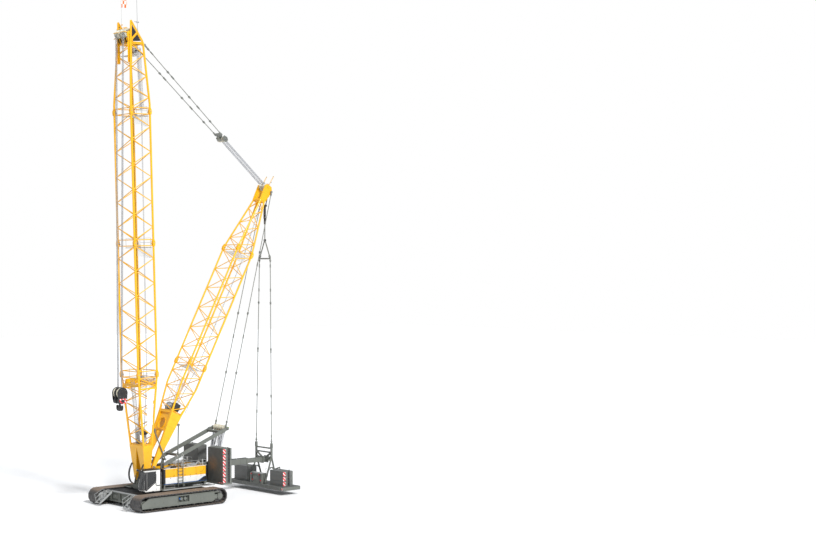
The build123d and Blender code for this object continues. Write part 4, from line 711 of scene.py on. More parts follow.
def copies(pattern, spots, finish, place=None):
    """Copies of a small piece at (point, turn) spots."""
    mesh = bpy.data.meshes.new("spots")
    turns, where = [], []
    for point, turn in spots:
        spot = (place or Matrix()) @ Matrix.Translation(point) @ Euler(turn).to_matrix().to_4x4()
        where.append(spot.translation)
        turns += list(spot.to_euler())
    mesh.from_pydata(where, [], [])
    mesh.attributes.new("turn", "FLOAT_VECTOR", "POINT").data.foreach_set("vector", turns)
    return COPIES.run(mesh, Pattern=pattern, Finish=finish)


def pattern_of(build):
    """A small shape kept as an object while its copies are made."""
    shapes = Shapes()
    build(shapes)
    return set_down("pattern", shapes.mesh("pattern"))


def drop(*things):
    for thing in things:
        bpy.data.objects.remove(thing)


def bow(a, b, sag, steps=12):
    """Points of a slack line between two places."""
    a, b, down = Vector(a), Vector(b), Vector((0, 0, -1))
    return [a.lerp(b, t) + down * sag * 4 * t * (1 - t) for t in [k / steps for k in range(steps + 1)]]


def rounded(points, steps):
    """A smooth line through given points."""
    line = bpy.data.curves.new("line", "CURVE")
    line.dimensions = "3D"
    spline = line.splines.new("NURBS")
    spline.points.add(len(points) - 1)
    for point, place in zip(spline.points, points):
        point.co = (*place, 1)
    spline.order_u = 3
    spline.use_endpoint_u = True
    spline.resolution_u = steps
    holder = set_down("line", line)
    mesh = bpy.data.meshes.new_from_object(holder.evaluated_get(bpy.context.evaluated_depsgraph_get()))
    result = [v.co.copy() for v in mesh.vertices]
    drop(holder)
    return result


def moved(x=0.0, y=0.0, z=0.0, turn=0.0, axis="Y"):
    """A place: shifted, then turned in degrees about one axis."""
    return Matrix.Translation((x, y, z)) @ Matrix.Rotation(radians(turn), 4, axis)


def sheave_profile(width, radius, depth, grooves):
    """Half outline of a pack of rope wheels with round-bottomed grooves."""
    pitch = width / grooves
    profile = [(0, 0.05)]
    for k in range(grooves):
        for part, cut in ((0.0, 0.0), (0.13, 0.0), (0.3, 0.75), (0.5, 1.0), (0.7, 0.75), (0.87, 0.0)):
            profile.append(((k + part) * pitch, radius - depth * cut))
    return profile + [(width, radius), (width, 0.05)]


def rope_wheel(s, at, out, width, radius, depth, grooves, sides=40):
    """A pack of grooved wheels that starts at a place and goes out (1 or -1) along Y."""
    s.turned(at, (0, out, 0), sheave_profile(width, radius, depth, grooves), SHEAVE, sides)


def sheave_cheek(s, x, y, z, out, radius):
    """The spoked side of a rope wheel: rim, web holes and a greased hub; the web holes are black discs, painted
    shade for the openings.
    """
    s.turned((x, y, z), (0, out, 0), [(0, radius * 0.93), (0.01, radius * 0.93), (0.01, radius * 0.8),
        (0.002, radius * 0.78), (0.002, radius * 0.42), (0.012, radius * 0.38), (0.012, 0.06)], SHEAVE, 40)
    # black discs stand for the web holes: painted shade where the openings look dark
    for k in range(8):
        t = pi / 4 * k
        s.turned((x + radius * 0.6 * cos(t), y + out * 0.002, z + radius * 0.6 * sin(t)), (0, out, 0),
            [(0, radius * 0.13), (0.003, radius * 0.12), (0.003, radius * 0.02)], BLACK, 12)


# ------------------------------------------------ undercarriage
TRACK_Y, TRACK_R, AXLE_X = 1.775, 0.361, 2.0265
SHOE_WIDTH, SHOES = 0.75, 58
CHAIN_IN = 0.275           # wheel side of the chain, from the axle
CHEEK_Y = 2.108            # outer face of a track frame
DECK_FRONT, DECK_TOP, BODY_TOP = 1.85, 0.654, 0.64
BOTH = (1, -1)


def shoe_shape(s):
    """One track shoe, outer side down, its middle on the path half its thickness inside the outline."""
    half, length = SHOE_WIDTH / 2, 0.112
    outline = [(-length, 0.001), (-length + 0.018, 0.046), (length - 0.03, 0.046), (length, 0.026),
        (length, 0.001)]
    outline = [(x, -z + 0.001) for x, z in outline]
    s.plate(outline, "y", (-half, half), TRACK_METAL)
    for y in (-half + 0.001, half - 0.101):
        s.box((-length + 0.004, length - 0.036), (y, y + 0.1), (-0.0225, 0.012), TRACK_METAL, 0.006)
    for y in (-0.2, 0.15):
        s.plate([(-0.075, 0), (-0.045, 0.062), (0.03, 0.062), (0.055, 0)], "y", (y, y + 0.05), TRACK_METAL)
    for y in (-0.295, 0.235):
        s.box((-0.02, 0.03), (y, y + 0.06), (0, 0.022), TRACK_METAL, 0.006)


def link_shape(s):
    """The paired links of the chain on the inside of a shoe."""
    for y in (-0.145, 0.105):
        s.plate([(-0.125, -0.01), (-0.125, 0.022), (-0.05, 0.04), (0.06, 0.04), (0.118, 0.022), (0.118, -0.01)],
            "y", (y, y + 0.04), TRACK_METAL)
    s.turned((-0.118, -0.16, 0.01), LEFT, [(0, 0.012), (0.004, 0.016), (0.316, 0.016), (0.32, 0.012)],
        TRACK_METAL, 8)


def tracks():
    """Both shoe loops; the path runs through the underside of the plates."""
    shoe, link = pattern_of(shoe_shape), pattern_of(link_shape)
    radius = TRACK_R - 0.046
    for side, y in (("left", TRACK_Y), ("right", -TRACK_Y)):
        s = Shapes(moved(0, y, TRACK_R))
        for pattern, inward in ((shoe, 0.0), (link, 0.006)):
            path = radius - inward
            s.take(TRACK.run(bpy.data.meshes.new("start"), Length=2 * (AXLE_X + path), Height=2 * path,
                Count=SHOES, Shoe=pattern, Finish=TRACK_METAL), TRACK_METAL)
        for point in s.points:                  # the ground levels the lowest edges
            point.z = max(point.z, 0.0)
        s.piece(f"track_shoes_{side}", "undercarriage", "track_steel", [f"track_loop_{side}"])
    drop(shoe, link)


def wheel(s, x, y0, y1, radius):
    """A track wheel: two treads with a groove for the drive lugs, a dished web."""
    w, rim = y1 - y0, 0.03
    s.turned((x, y0, TRACK_R), LEFT, [(0.03, 0.05), (0.03, radius * 0.55), (0.012, radius * 0.72),
        (0, radius - rim * 0.4), (0.008, radius), (w * 0.34, radius), (w * 0.4, radius - rim),
        (w * 0.6, radius - rim), (w * 0.66, radius), (w - 0.008, radius), (w, radius - rim * 0.4),
        (w - 0.012, radius * 0.72), (w - 0.03, radius * 0.55), (w - 0.03, 0.05)], STEEL, 40)


def running_gear():
    """Idlers, sprockets with their teeth, hubs with bolt circles, and the track rollers."""
    s = Shapes()
    inner, outer = TRACK_Y - 0.145, TRACK_Y + 0.145
    wheel(s, -AXLE_X, inner, outer, CHAIN_IN - 0.004)
    wheel(s, AXLE_X, inner + 0.05, outer - 0.05, 0.225)
    teeth, tip = 14, CHAIN_IN - 0.003
    gear = [(AXLE_X + r * cos(2 * pi * (k + part) / teeth), TRACK_R + r * sin(2 * pi * (k + part) / teeth))
        for k in range(teeth) for part, r in ((0.0, 0.228), (0.3, 0.228), (0.42, tip), (0.58, tip),
        (0.7, 0.228))]
    for y in (TRACK_Y - 0.075, TRACK_Y + 0.035):
        s.plate(gear, "y", (y, y + 0.04), STEEL)
    cap = CHEEK_Y - outer
    s.turned((-AXLE_X, outer - 0.06, TRACK_R), LEFT, [(0, 0.15), (cap + 0.045, 0.15), (cap + 0.055, 0.142),
        (cap + 0.06, 0.142), (cap + 0.06, 0.1), (cap + 0.072, 0.092), (cap + 0.072, 0.03)], CHASSIS, 40)
    s.turned((AXLE_X, outer - 0.06, TRACK_R), LEFT, [(0, 0.16), (0.085, 0.16), (0.1, 0.12), (0.155, 0.12),
        (0.155, 0.05)], CHASSIS, 32)
    for x, r, count, y in ((-AXLE_X, 0.12, 10, CHEEK_Y), (AXLE_X, 0.135, 12, outer + 0.026)):
        s.bolt_circle((x, y, TRACK_R), r, count, 1, 0.0085, pi / count)
    span = 2 * (AXLE_X - 0.274) - 0.3
    for k in range(8):
        x = -span / 2 + k * span / 7
        z = TRACK_R - CHAIN_IN + 0.057
        s.turned((x, TRACK_Y - 0.152, z), LEFT, [(0, 0.03), (0, 0.066), (0.012, 0.066), (0.014, 0.055),
            (0.114, 0.055), (0.12, 0.068), (0.184, 0.068), (0.19, 0.055), (0.29, 0.055), (0.292, 0.066),
            (0.304, 0.066), (0.304, 0.03)], STEEL, 20)
        s.box(about(x, 0.05), (TRACK_Y + 0.152, TRACK_Y + 0.2), (z - 0.03, 0.206), CHASSIS)
        s.turned((x, TRACK_Y + 0.19, z), LEFT, [(0, 0.03), (0.022, 0.03), (0.026, 0.02)], STEEL, 12)
    s.mirrored().piece("running_gear", "undercarriage", "track_steel", ["track_wheels"])


def track_frame_trim():
    """What shows on a track frame: seams, covers, recess with its valves, carrier slides, drive unit inside."""
    s = Shapes(finish=CHASSIS)
    face = CHEEK_Y
    for x in (-1.38, -0.92, -0.46, 0.46, 0.86, 1.3, 1.72):
        s.box(about(x, 0.004), (face - 0.002, face + 0.003), (0.22, 0.575), edge=0.001)
    s.box((-1.6, 1.95), (face - 0.001, face + 0.01), (0.574, 0.59), edge=0.003)
    s.box((-1.6, 1.9), (face - 0.001, face + 0.007), (0.206, 0.222), edge=0.003)
    for x in (-0.322, 0.3):
        s.plate(rectangle(x, x + 0.022, 0.27, 0.6), "y", (face - 0.02, face + 0.012))
    s.plate([(-0.3, 0.285), (0.3, 0.285), (0.27, 0.305), (-0.27, 0.305)], "y", (face - 0.05, face + 0.006))
    for x, r, finish in ((-0.13, 0.062, TRIM_BLUE), (0.03, 0.07, FORGED), (0.17, 0.05, TRIM_BLUE)):
        s.turned((x, face - 0.13, TRACK_R + 0.075), LEFT, [(0, r), (0.055, r), (0.062, r * 0.8),
            (0.09, r * 0.55), (0.09, 0.01)], finish)
    for k in range(4):
        s.rod((-0.24 + 0.13 * k, face - 0.11, 0.335), (-0.21 + 0.13 * k, face - 0.1, 0.52), 0.008, HOSE, 8)
    s.box((0.2, 0.275), (face - 0.12, face - 0.05), (0.36, 0.47), FORGED)
    for x, z in ((0.62, 0.5), (0.64, 0.46), (-0.7, 0.52), (-0.7, 0.48), (1.1, 0.5), (-1.12, 0.5), (0.62, 0.3),
            (-0.7, 0.3)):
        s.bolt((x, face - 0.001, z), LEFT, 0.009)
    for x in (1.06, 1.52, -1.15):
        s.turned((x, face - 0.001, 0.38), LEFT, [(0, 0.052), (0.006, 0.052), (0.006, 0.042), (0.01, 0.038)])
        s.bolt_circle((x, face + 0.005, 0.38), 0.045, 6, 1, 0.0045)
    for x in (-1.25, -0.75, -0.25, 0.25, 0.75, 1.25):
        s.box(about(x, 0.16), about(TRACK_Y, 0.11), (0.62, 0.6345), STEEL, 0.006)
    s.box((-1.86, -1.66), (face - 0.06, face - 0.01), about(TRACK_R, 0.075), edge=0.01)
    s.rod((-1.6, face - 0.035, TRACK_R), (-1.72, face - 0.035, TRACK_R), 0.032, STEEL, 16)
    s.box((-1.96, -1.6), (face - 0.012, face + 0.004), (0.545, 0.6), edge=0.006)
    for x in (-1.9, -1.66):
        s.rod((x, face - 0.05, 0.61), (x, face - 0.05, 0.655), 0.018, RAIL)
    # drive end: gear case, motor and its pipes
    s.turned((AXLE_X, TRACK_Y - 0.15, TRACK_R), (0, -1, 0), [(0, 0.262), (0.02, 0.268), (0.06, 0.268),
        (0.066, 0.235), (0.12, 0.225), (0.128, 0.165), (0.19, 0.155), (0.2, 0.1), (0.225, 0.095),
        (0.225, 0.03)], RAIL, 36)
    s.bolt_circle((AXLE_X, TRACK_Y - 0.21, TRACK_R), 0.25, 16, -1, 0.011)
    for x in [AXLE_X - 0.05 * k for k in range(3)]:
        bend = [(x - 0.02, TRACK_Y - 0.34, TRACK_R + 0.1), (x + 0.02, TRACK_Y - 0.36, TRACK_R + 0.26),
            (x - 0.16, TRACK_Y - 0.34, TRACK_R + 0.27)]
        s.tubes([rounded(bend, 5)], 0.012, HOSE)
    for k in range(5):
        t = radians(50 + 24 * k)
        a = (AXLE_X + 0.13 * cos(t), TRACK_Y - 0.27, TRACK_R + 0.13 * sin(t))
        s.rod(a, (a[0] - 0.25, a[1] + 0.02, a[2] + 0.02), 0.01, HOSE, 8)
    s.mirrored().piece("track_frame_trim", "undercarriage", "undercarriage_paint")


def chassis_trim():
    """Front and rear faces of the car body, deck edges, lugs and the ring of slewing bolts."""
    s = Shapes()
    for sx in BOTH:
        x = sx * DECK_FRONT
        s.box((x - sx * 0.012, x + sx * 0.006), (-1.385, 1.385), (DECK_TOP - 0.032, DECK_TOP + 0.03), RAIL,
            0.005)
        s.box((x - sx * 0.006, x - sx * 0.03), (-1.18, 1.18), (0.196, 0.226), CHASSIS, 0.006)
        for y in (-1.06, -0.37, 0.37, 1.06):
            s.plate(tapered(y, 0.018, 0.2, 0.018, BODY_TOP - 0.02), "x", (x - sx * 0.055, x - sx * 0.003),
                CHASSIS)
        for y in (-0.98, -0.5, -0.24, 0.24, 0.5, 0.98):
            for z in (0.3, 0.53):
                s.bolt((x - sx * 0.0545, y, z), (sx, 0, 0), 0.01)
        for y in (-0.74, 0.0, 0.74):
            s.box((x - sx * 0.054, x - sx * 0.044), about(y, 0.19), (0.32, 0.5), CHASSIS, 0.008)
            s.rod((x - sx * 0.04, y - 0.06, 0.44), (x - sx * 0.04, y + 0.06, 0.44), 0.007, RAIL, 8)
        for y in (-0.42, 0.42):
            s.rod((x - sx * 0.05, y, 0.205), (x, y, 0.205), 0.022, STEEL)
    s.turned((0, 0, BODY_TOP + 0.001), UP, [(0, 0.718), (0.02, 0.718), (0.024, 0.706), (0.058, 0.706),
        (0.06, 0.703)], FORGED, 96)
    s.piece("chassis_trim", "undercarriage", "undercarriage_paint")
    head = pattern_of(lambda p: p.bolt((0, 0, 0), UP, 0.011, STEEL))
    spots = [((0.735 * cos(t), 0.735 * sin(t), BODY_TOP), (0, 0, 0))
        for t in [2 * pi * k / 48 for k in range(48)]]
    settle("ring_bolts", copies(head, spots, STEEL), "undercarriage")
    drop(head)


def stair_flights():
    """Both flights at the front: stringers, open steps and bent handrails."""
    s = Shapes()
    rails = []
    x0, y_mid, top, low, run = DECK_FRONT + 0.002, 1.16, BODY_TOP - 0.01, 0.12, 0.62
    for dy in (-0.2, 0.184):
        y = y_mid + dy
        s.plate([(x0, top - 0.09), (x0, top), (x0 + 0.06, top), (x0 + run + 0.04, low + 0.03),
            (x0 + run + 0.04, low), (x0 + run - 0.02, low)], "y", (y + 0.002, y + 0.014), RAIL)
        foot, head = (x0 + run - 0.01, y + 0.008, low + 0.04), (x0 + run + 0.06, y + 0.008, low + 0.4)
        knee, back = (x0 + 0.26, y + 0.008, top + 0.086), (x0 + 0.03, y + 0.008, top - 0.04)
        mid0, mid1 = (x0 + run + 0.02, y + 0.008, low + 0.22), (x0 + 0.14, y + 0.008, top + 0.03)
        rails += [[foot, head, knee, back], [mid0, mid1]]
    step = grating(0.085, 0.368, 4, 12, 0.005, RAIL)
    for k in range(5):
        x = x0 + 0.07 + k * (run - 0.06) / 4
        z = top - 0.06 - k * (top - low - 0.09) / 4
        s.take(step, RAIL, moved(x, y_mid, z))
        s.box((x + 0.04, x + 0.046), about(y_mid, 0.186), (z - 0.012, z + 0.01), RAIL, 0.001)
    s.tubes(rails, 0.01, RAIL, 10)
    s.mirrored().piece("stair_flights", "undercarriage", "grey_steel", ["stairs"])


tracks()
running_gear()
track_frame_trim()
chassis_trim()
stair_flights()


# ------------------------------------------------ lattice booms
MAIN = moved(0.85, 0, 1.2, 1.8)
DERRICK = moved(0.54, 0, 1.74, -27.3)
CORNERS = ((1, 1), (1, -1), (-1, -1), (-1, 1))
# boom sections: stations (place along the axis, half width, half depth), bay, lower and upper rail
WIDE, NARROW = (0.695, 0.505), (0.57, 0.46)
MAIN_SECTIONS = ((((1.57, 0.536, 0.22), (4.85, *WIDE)), 0.39, 0.06, 0.15),
    (((4.85, *WIDE), (10.85, *WIDE)), 0.56, 0.15, 0.13), (((10.85, *WIDE), (16.85, *WIDE)), 0.56, 0.15, 0.13),
    (((16.85, *WIDE), (17.18, *WIDE), (19.95, 0.54, 0.335)), 0.47, 0.15, 0.04))
DERRICK_SECTIONS = ((((2.7, 0.505, 0.275), (4.1, *NARROW), (5.2, *NARROW)), 0.4, 0.06, 0.13),
    (((5.2, *NARROW), (11.2, *NARROW)), 0.52, 0.15, 0.13), (((11.2, *NARROW), (14.0, 0.275, 0.12)), 0.43, 0.13,
    0.06))
MAIN_JOINTS, DERRICK_JOINTS = (4.85, 10.85, 16.85), (5.2, 11.2)
SHEAVE_X, SHEAVE_Z = 1.8503, 21.5686            # axle of the rope wheels at the main boom's head


def corner_at(stations, s, sx, sy):
    """Where one main tube is at a place along the boom."""
    for (s0, w0, d0), (s1, w1, d1) in zip(stations, stations[1:]):
        if s <= s1 or s1 == stations[-1][0]:
            t = (s - s0) / (s1 - s0)
            return Vector((sx * (d0 + t * (d1 - d0)), sy * (w0 + t * (w1 - w0)), s))


def lacing(stations, bay, low_rail, high_rail):
    """The zigzag of all four faces and the level tubes at both ends, as lines."""
    low, high = stations[0][0] + low_rail, stations[-1][0] - high_rail
    count = max(2, round((high - low) / bay))
    step = (high - low) / count
    lines = []
    for face in range(4):
        a, b = CORNERS[face], CORNERS[(face + 1) % 4]
        for k in range(count):
            swap = (k + face) % 2 == 1
            here, there = (b, a) if swap else (a, b)
            s = low + k * step
            lines.append([corner_at(stations, s, *here), corner_at(stations, s + step, *there)])
        lines += [[corner_at(stations, end, *a), corner_at(stations, end, *b)] for end in (low, high)]
    return lines


def weld_knots(lines, radius, reach):
    """Short sleeves where the lacing meets the main tubes."""
    return [[end + (far - end).normalized() * reach, end + (far - end).normalized() * (reach + radius * 0.9)]
        for a, b in lines for end, far in ((a, b), (b, a))]


def lattice(name, body, place, sections, chord, lace):
    """Round tubes over one boom's lattice."""
    s = Shapes(place)
    for stations, bay, low_rail, high_rail in sections:
        lines = lacing(stations, bay, low_rail, high_rail)
        tubes = [[corner_at(stations, station[0], *c) for station in stations] for c in CORNERS]
        s.tubes(tubes, chord, YELLOW, 16)
        s.tubes(lines, lace, YELLOW)
        s.tubes(weld_knots(lines, lace, chord * 1.02), lace * 1.22, YELLOW)
    return s.piece(name, body, "crane_yellow")


def joint_lug_shape(s):
    """Fork and eye of one pinned joint between two sections, about a pin along Y."""
    for y, thick, wide, up in ((-0.068, 0.03, 0.068, 1), (0.038, 0.03, 0.068, 1), (-0.034, 0.068, 0.066, -1)):
        half = [(0.05, -0.15), (wide, -0.03), (wide, 0.03), (0.04, 0.1)]
        s.plate([(x, up * z) for x, z in half] + [(-x, up * z) for x, z in reversed(half)], "y", (y, y + thick),
            YELLOW, 0.004)


def joint_pin_shape(s):
    s.turned((0, -0.105, 0), LEFT, [(0, 0.02), (0.004, 0.026), (0.016, 0.026), (0.018, 0.02), (0.19, 0.02),
        (0.196, 0.014)], RAIL, 16)
    s.rod((-0.035, 0.08, 0), (0.035, 0.08, 0), 0.005, RAIL, 8)
    s.rod((0.035, 0.08, 0), (0.035, 0.1, 0.012), 0.004, RAIL, 8)


def section_joints(name, body, place, joints, size):
    """Lugs, pins and retaining clips of every section joint."""
    lug, pin = pattern_of(joint_lug_shape), pattern_of(joint_pin_shape)
    spots = [((sx * size[1], sy * size[0], joint), (0, 0, 0 if sy > 0 else pi)) for joint in joints
        for sx, sy in CORNERS]
    s = Shapes()
    s.take(copies(lug, spots, YELLOW, place), YELLOW)
    s.take(copies(pin, spots, RAIL, place), RAIL)
    s.piece(name, body, "crane_yellow")
    drop(lug, pin)


def mesh_panel(s, place, length, width, cell=0.045, bar=0.0042):
    """A framed panel of open mesh, its middle at the place."""
    s.take(grating(length, width, max(2, round(length / cell)), max(2, round(width / cell)), bar, MESH), MESH,
        place)
    edge = [(x * length / 2, y * width / 2, 0) for x, y in ((-1, -1), (1, -1), (1, 1), (-1, 1), (-1, -1))]
    s.tubes([edge], 0.008, MESH, place=place)


def rest_platforms():
    """Open mesh platforms, rails and folded guards at the section joints, inside both booms."""
    s = Shapes(MAIN)
    for joint in MAIN_JOINTS:
        z = joint - 0.2
        mesh_panel(s, moved(-0.14, 0.02, z), 0.6, 1.16)
        mesh_panel(s, moved(-0.1, 0.6, z - 0.17, 90) @ Matrix.Rotation(pi / 2, 4, "Z"), 0.02, 0.28)
        for x0, x1, dz in ((-0.44, -0.1, 0.26), (-0.02, 0.3, 0.22)):
            mesh_panel(s, moved((x0 + x1) / 2, 0.615, z - dz, 90, "X"), x1 - x0, 2 * dz - 0.1, 0.03)
        rails = [[(-0.42, y, z), (-0.42, y, z + 0.42), (0.16, y, z + 0.42), (0.16, y, z)] for y in (0.6, -0.56)]
        rails += [[(x, -0.62, z - 0.02), (x, 0.66, z - 0.02)] for x in (-0.44, 0.16)]
        rails += [[(-0.42, 0.6, z + 0.22), (0.16, 0.6, z + 0.22)]]
        s.tubes(rails, 0.0095, RAIL)
        s.box((-0.06, 0.1), (0.2, 0.34), (z + 0.02, z + 0.12), RAIL)
        for sx, sy in CORNERS:
            s.rod((sx * 0.505, sy * 0.6, joint - 0.02), (sx * 0.42, sy * 0.6, joint - 0.06), 0.012, STEEL, 10)
            s.tubes([bow((sx * 0.5, sy * 0.63, joint - 0.1), (sx * 0.505, sy * 0.7, joint + 0.05), 0.06, 6)],
                0.004, STEEL, 6)
    s.piece("boom_rest_platforms", "main_boom", "grey_steel")
    s = Shapes(DERRICK)
    for joint in DERRICK_JOINTS:
        z = joint - 0.18
        mesh_panel(s, moved(0.02, 0.0, z), 0.7, 0.9)
        rails = [[(-0.34, sy * 0.46, z), (-0.34, sy * 0.46, z + 0.36), (0.34, sy * 0.46, z + 0.36),
            (0.34, sy * 0.46, z)] for sy in BOTH]
        s.tubes(rails, 0.009, RAIL)
        mesh_panel(s, moved(0.05, 0.5, z - 0.2, 90, "X"), 0.5, 0.34, 0.03)
    s.piece("derrick_rest_platforms", "derrick", "grey_steel")


def cable_ladder(s, x, y, s0, s1, width, rung=0.1, lean=0.0):
    """A light ladder with closely set rungs, running up inside a boom."""
    edges, count = (y - width / 2, y + width / 2), round((s1 - s0) / rung)
    side = [[(x, edge, s0), (x + lean, edge, s1)] for edge in edges]
    rungs = [[(x + lean * (k + 0.5) / count, edge, s0 + (k + 0.5) * rung) for edge in edges]
        for k in range(count)]
    s.tubes(side, 0.01, MESH)
    s.tubes(rungs, 0.0065, MESH, 6)


def boom_lines():
    """What runs up inside the main boom: foot ladder, head guard strip, rope and cable."""
    s = Shapes(MAIN)
    cable_ladder(s, 0.2, 0.1, 1.72, 4.6, 0.3, 0.085, 0.24)
    mesh_panel(s, moved(0.315, 0.1, 3.15, -85.3), 2.75, 0.24, 0.05, 0.004)
    mesh_panel(s, moved(-0.37, 0.18, 18.35, -88.2), 2.75, 0.36, 0.04, 0.005)
    ropes = [[(-0.105, y, 2.15), (-0.3, y * 1.3, 4.8), (-0.395, y * 1.5, 16.8), (-0.22, y * 1.8, 20.0)]
        for y in (0.1, 0.14)]
    s.tubes(ropes, 0.0068, ROPE)
    cables = [[(0.46, 0.655 - 0.02 * k, 4.9), (0.46, 0.655 - 0.02 * k, 16.7), (0.31, 0.5 - 0.02 * k, 19.8)]
        for k in range(2)]
    cables += [[(-0.44, -0.62, 1.9), (-0.46, -0.65, 4.9), (-0.46, -0.65, 16.7)]]
    s.tubes(cables, 0.0065, HOSE)
    for k in range(24):
        z = 5.2 + 0.48 * k
        s.box((0.448, 0.472), (0.625, 0.665), (z, z + 0.02), BLACK, 0.002)
    s.piece("boom_inner_lines", "main_boom", "grey_steel")


def boom_head_fittings():
    """Head of the main boom: rope guards, netting, ribs, small winch, and the mast with wind cups and lamp."""
    s = Shapes(MAIN, YELLOW)
    d, top = 0.335, 19.95
    axle_x, axle = 0.36, 20.39
    for sy in BOTH:
        for k in range(6):                      # lightening seams of the side plates
            s.bolt((axle_x - 0.1 + 0.04 * k, sy * 0.4855, axle - 0.2), (0, sy, 0), 0.008)
        s.turned((axle_x, sy * 0.484, axle), (0, sy, 0), [(0, 0.075), (0.014, 0.075), (0.018, 0.068),
            (0.018, 0.045), (0.03, 0.04), (0.03, 0.012)])
        netting = [(d - 0.05, top + 0.9), (-d + 0.1, top + 0.1), (d - 0.06, top + 0.06)]
        s.plate(netting, "y", (sy * 0.505, sy * 0.51), BLACK)
        strips = [((d - 0.02, top + 0.02), (d - 0.06, top + 0.98)),
            ((d - 0.06, top + 0.98), (-d + 0.02, top + 0.06)), ((d - 0.04, top + 0.12), (-0.06, top + 0.48))]
        for (xa, sa), (xb, sb) in strips:
            s.beam((xa, sy * 0.53, sa), (xb, sy * 0.53, sb), 0.078, 0.05, up=LEFT)
        s.beam((d + 0.042, sy * 0.49, top - 0.9), (d + 0.042, sy * 0.49, top + 0.02), 0.17, 0.012, up=LEFT)
        s.rod((d - 0.1, sy * 0.548, top + 0.1), (d - 0.1, sy * 0.562, top + 0.1), 0.03, sides=16)
        loops = [[(axle_x - 0.02, sy * (0.1 + 0.085 * k), axle + 0.215),
            (axle_x + 0.05, sy * (0.1 + 0.085 * k), axle + 0.262), (axle_x + 0.12, sy * (0.1 + 0.085 * k),
            axle + 0.225)] for k in range(4)]
        s.tubes(loops, 0.012)
        s.rod((axle_x + 0.215, sy * 0.06, axle + 0.05), (axle_x + 0.215, sy * 0.47, axle + 0.05), 0.014)
        s.beam((axle_x + 0.06, sy * 0.47, axle), (axle_x + 0.22, sy * 0.47, axle + 0.05), 0.03, 0.02, up=LEFT)
    s.beam((axle_x + 0.03, -0.49, axle - 0.1), (axle_x + 0.17, -0.53, axle - 0.22), 0.03, 0.03)
    for y in (-0.52, 0.05):
        s.box((d, d + 0.05), (y, y + 0.1), (top + 0.06, top + 0.16))
    for k in range(9):                          # dark ribs under the sheaves
        y = -0.4 + 0.1 * k
        s.plate([(d - 0.26, top + 0.02), (d + 0.06, top + 0.02), (d + 0.14, top + 0.22),
            (d - 0.12, top + 0.22)], "y", about(y, 0.006), BLACK if k % 2 else YELLOW)
    s.turned((-0.02, 0.16, top - 0.34), LEFT, [(0, 0.1), (0.03, 0.12), (0.03, 0.07), (0.19, 0.07), (0.19, 0.12),
        (0.22, 0.1), (0.22, 0.045), (0.26, 0.045)], RAIL, 28)
    s.turned((-0.02, 0.41, top - 0.34), LEFT, [(0, 0.04), (0.05, 0.04), (0.055, 0.03)], BLACK, 20)
    s.box((-0.16, 0.12), (0.1, 0.46), (top - 0.52, top - 0.46), RAIL)
    s.box((-0.28, -0.16), (-0.3, 0.0), (top - 0.5, top - 0.22), RAIL)
    mesh_panel(s, moved(0.02, 0.0, top - 0.55), 0.5, 0.9)
    s.tubes([[(-0.24, y, top - 0.55), (-0.24, y, top - drop_to), (0.24, y, top - drop_to)]
        for y, drop_to in ((-0.44, 0.15), (0.44, 0.2))], 0.01, RAIL)
    s.piece("boom_head_fittings", "main_boom", "crane_yellow")
    s = Shapes(MAIN)
    x, y, cups = -0.19, 0.34, -0.11
    s.tubes([[(x, y, top + 0.28), (x, y, top + 2.3)], [(x - 0.06, y, top + 0.95), (cups, y, top + 0.95)]], 0.01,
        RAIL, 10)
    s.turned((x - 0.06, y, top + 0.93), UP, [(0, 0.012), (0.02, 0.03), (0.05, 0.03), (0.07, 0.012)], RAIL, 16)
    for t in [2 * pi * k / 3 for k in range(3)]:
        cup = (cups + 0.055 * cos(t), y + 0.055 * sin(t), top + 0.99)
        s.rod((cups, y, top + 0.99), cup, 0.004, RAIL, 6)
        s.turned(cup, (-sin(t), cos(t), 0), [(-0.018, 0.004), (-0.01, 0.016), (0.012, 0.02), (0.012, 0.004)],
            RAIL, 12)
    s.box(about(x, 0.02), about(y, 0.03), (top + 0.5, top + 0.62), RAIL)
    s.turned((x, y, top + 0.66), UP, [(0, 0.018), (0.01, 0.026), (0.05, 0.026), (0.06, 0.016)], CLEAR_LENS, 16)
    s.box(about(x, 0.03), (y - 0.03, y + 0.22), (top + 0.24, top + 0.3), YELLOW)
    s.piece("boom_mast", "main_boom", "grey_steel")


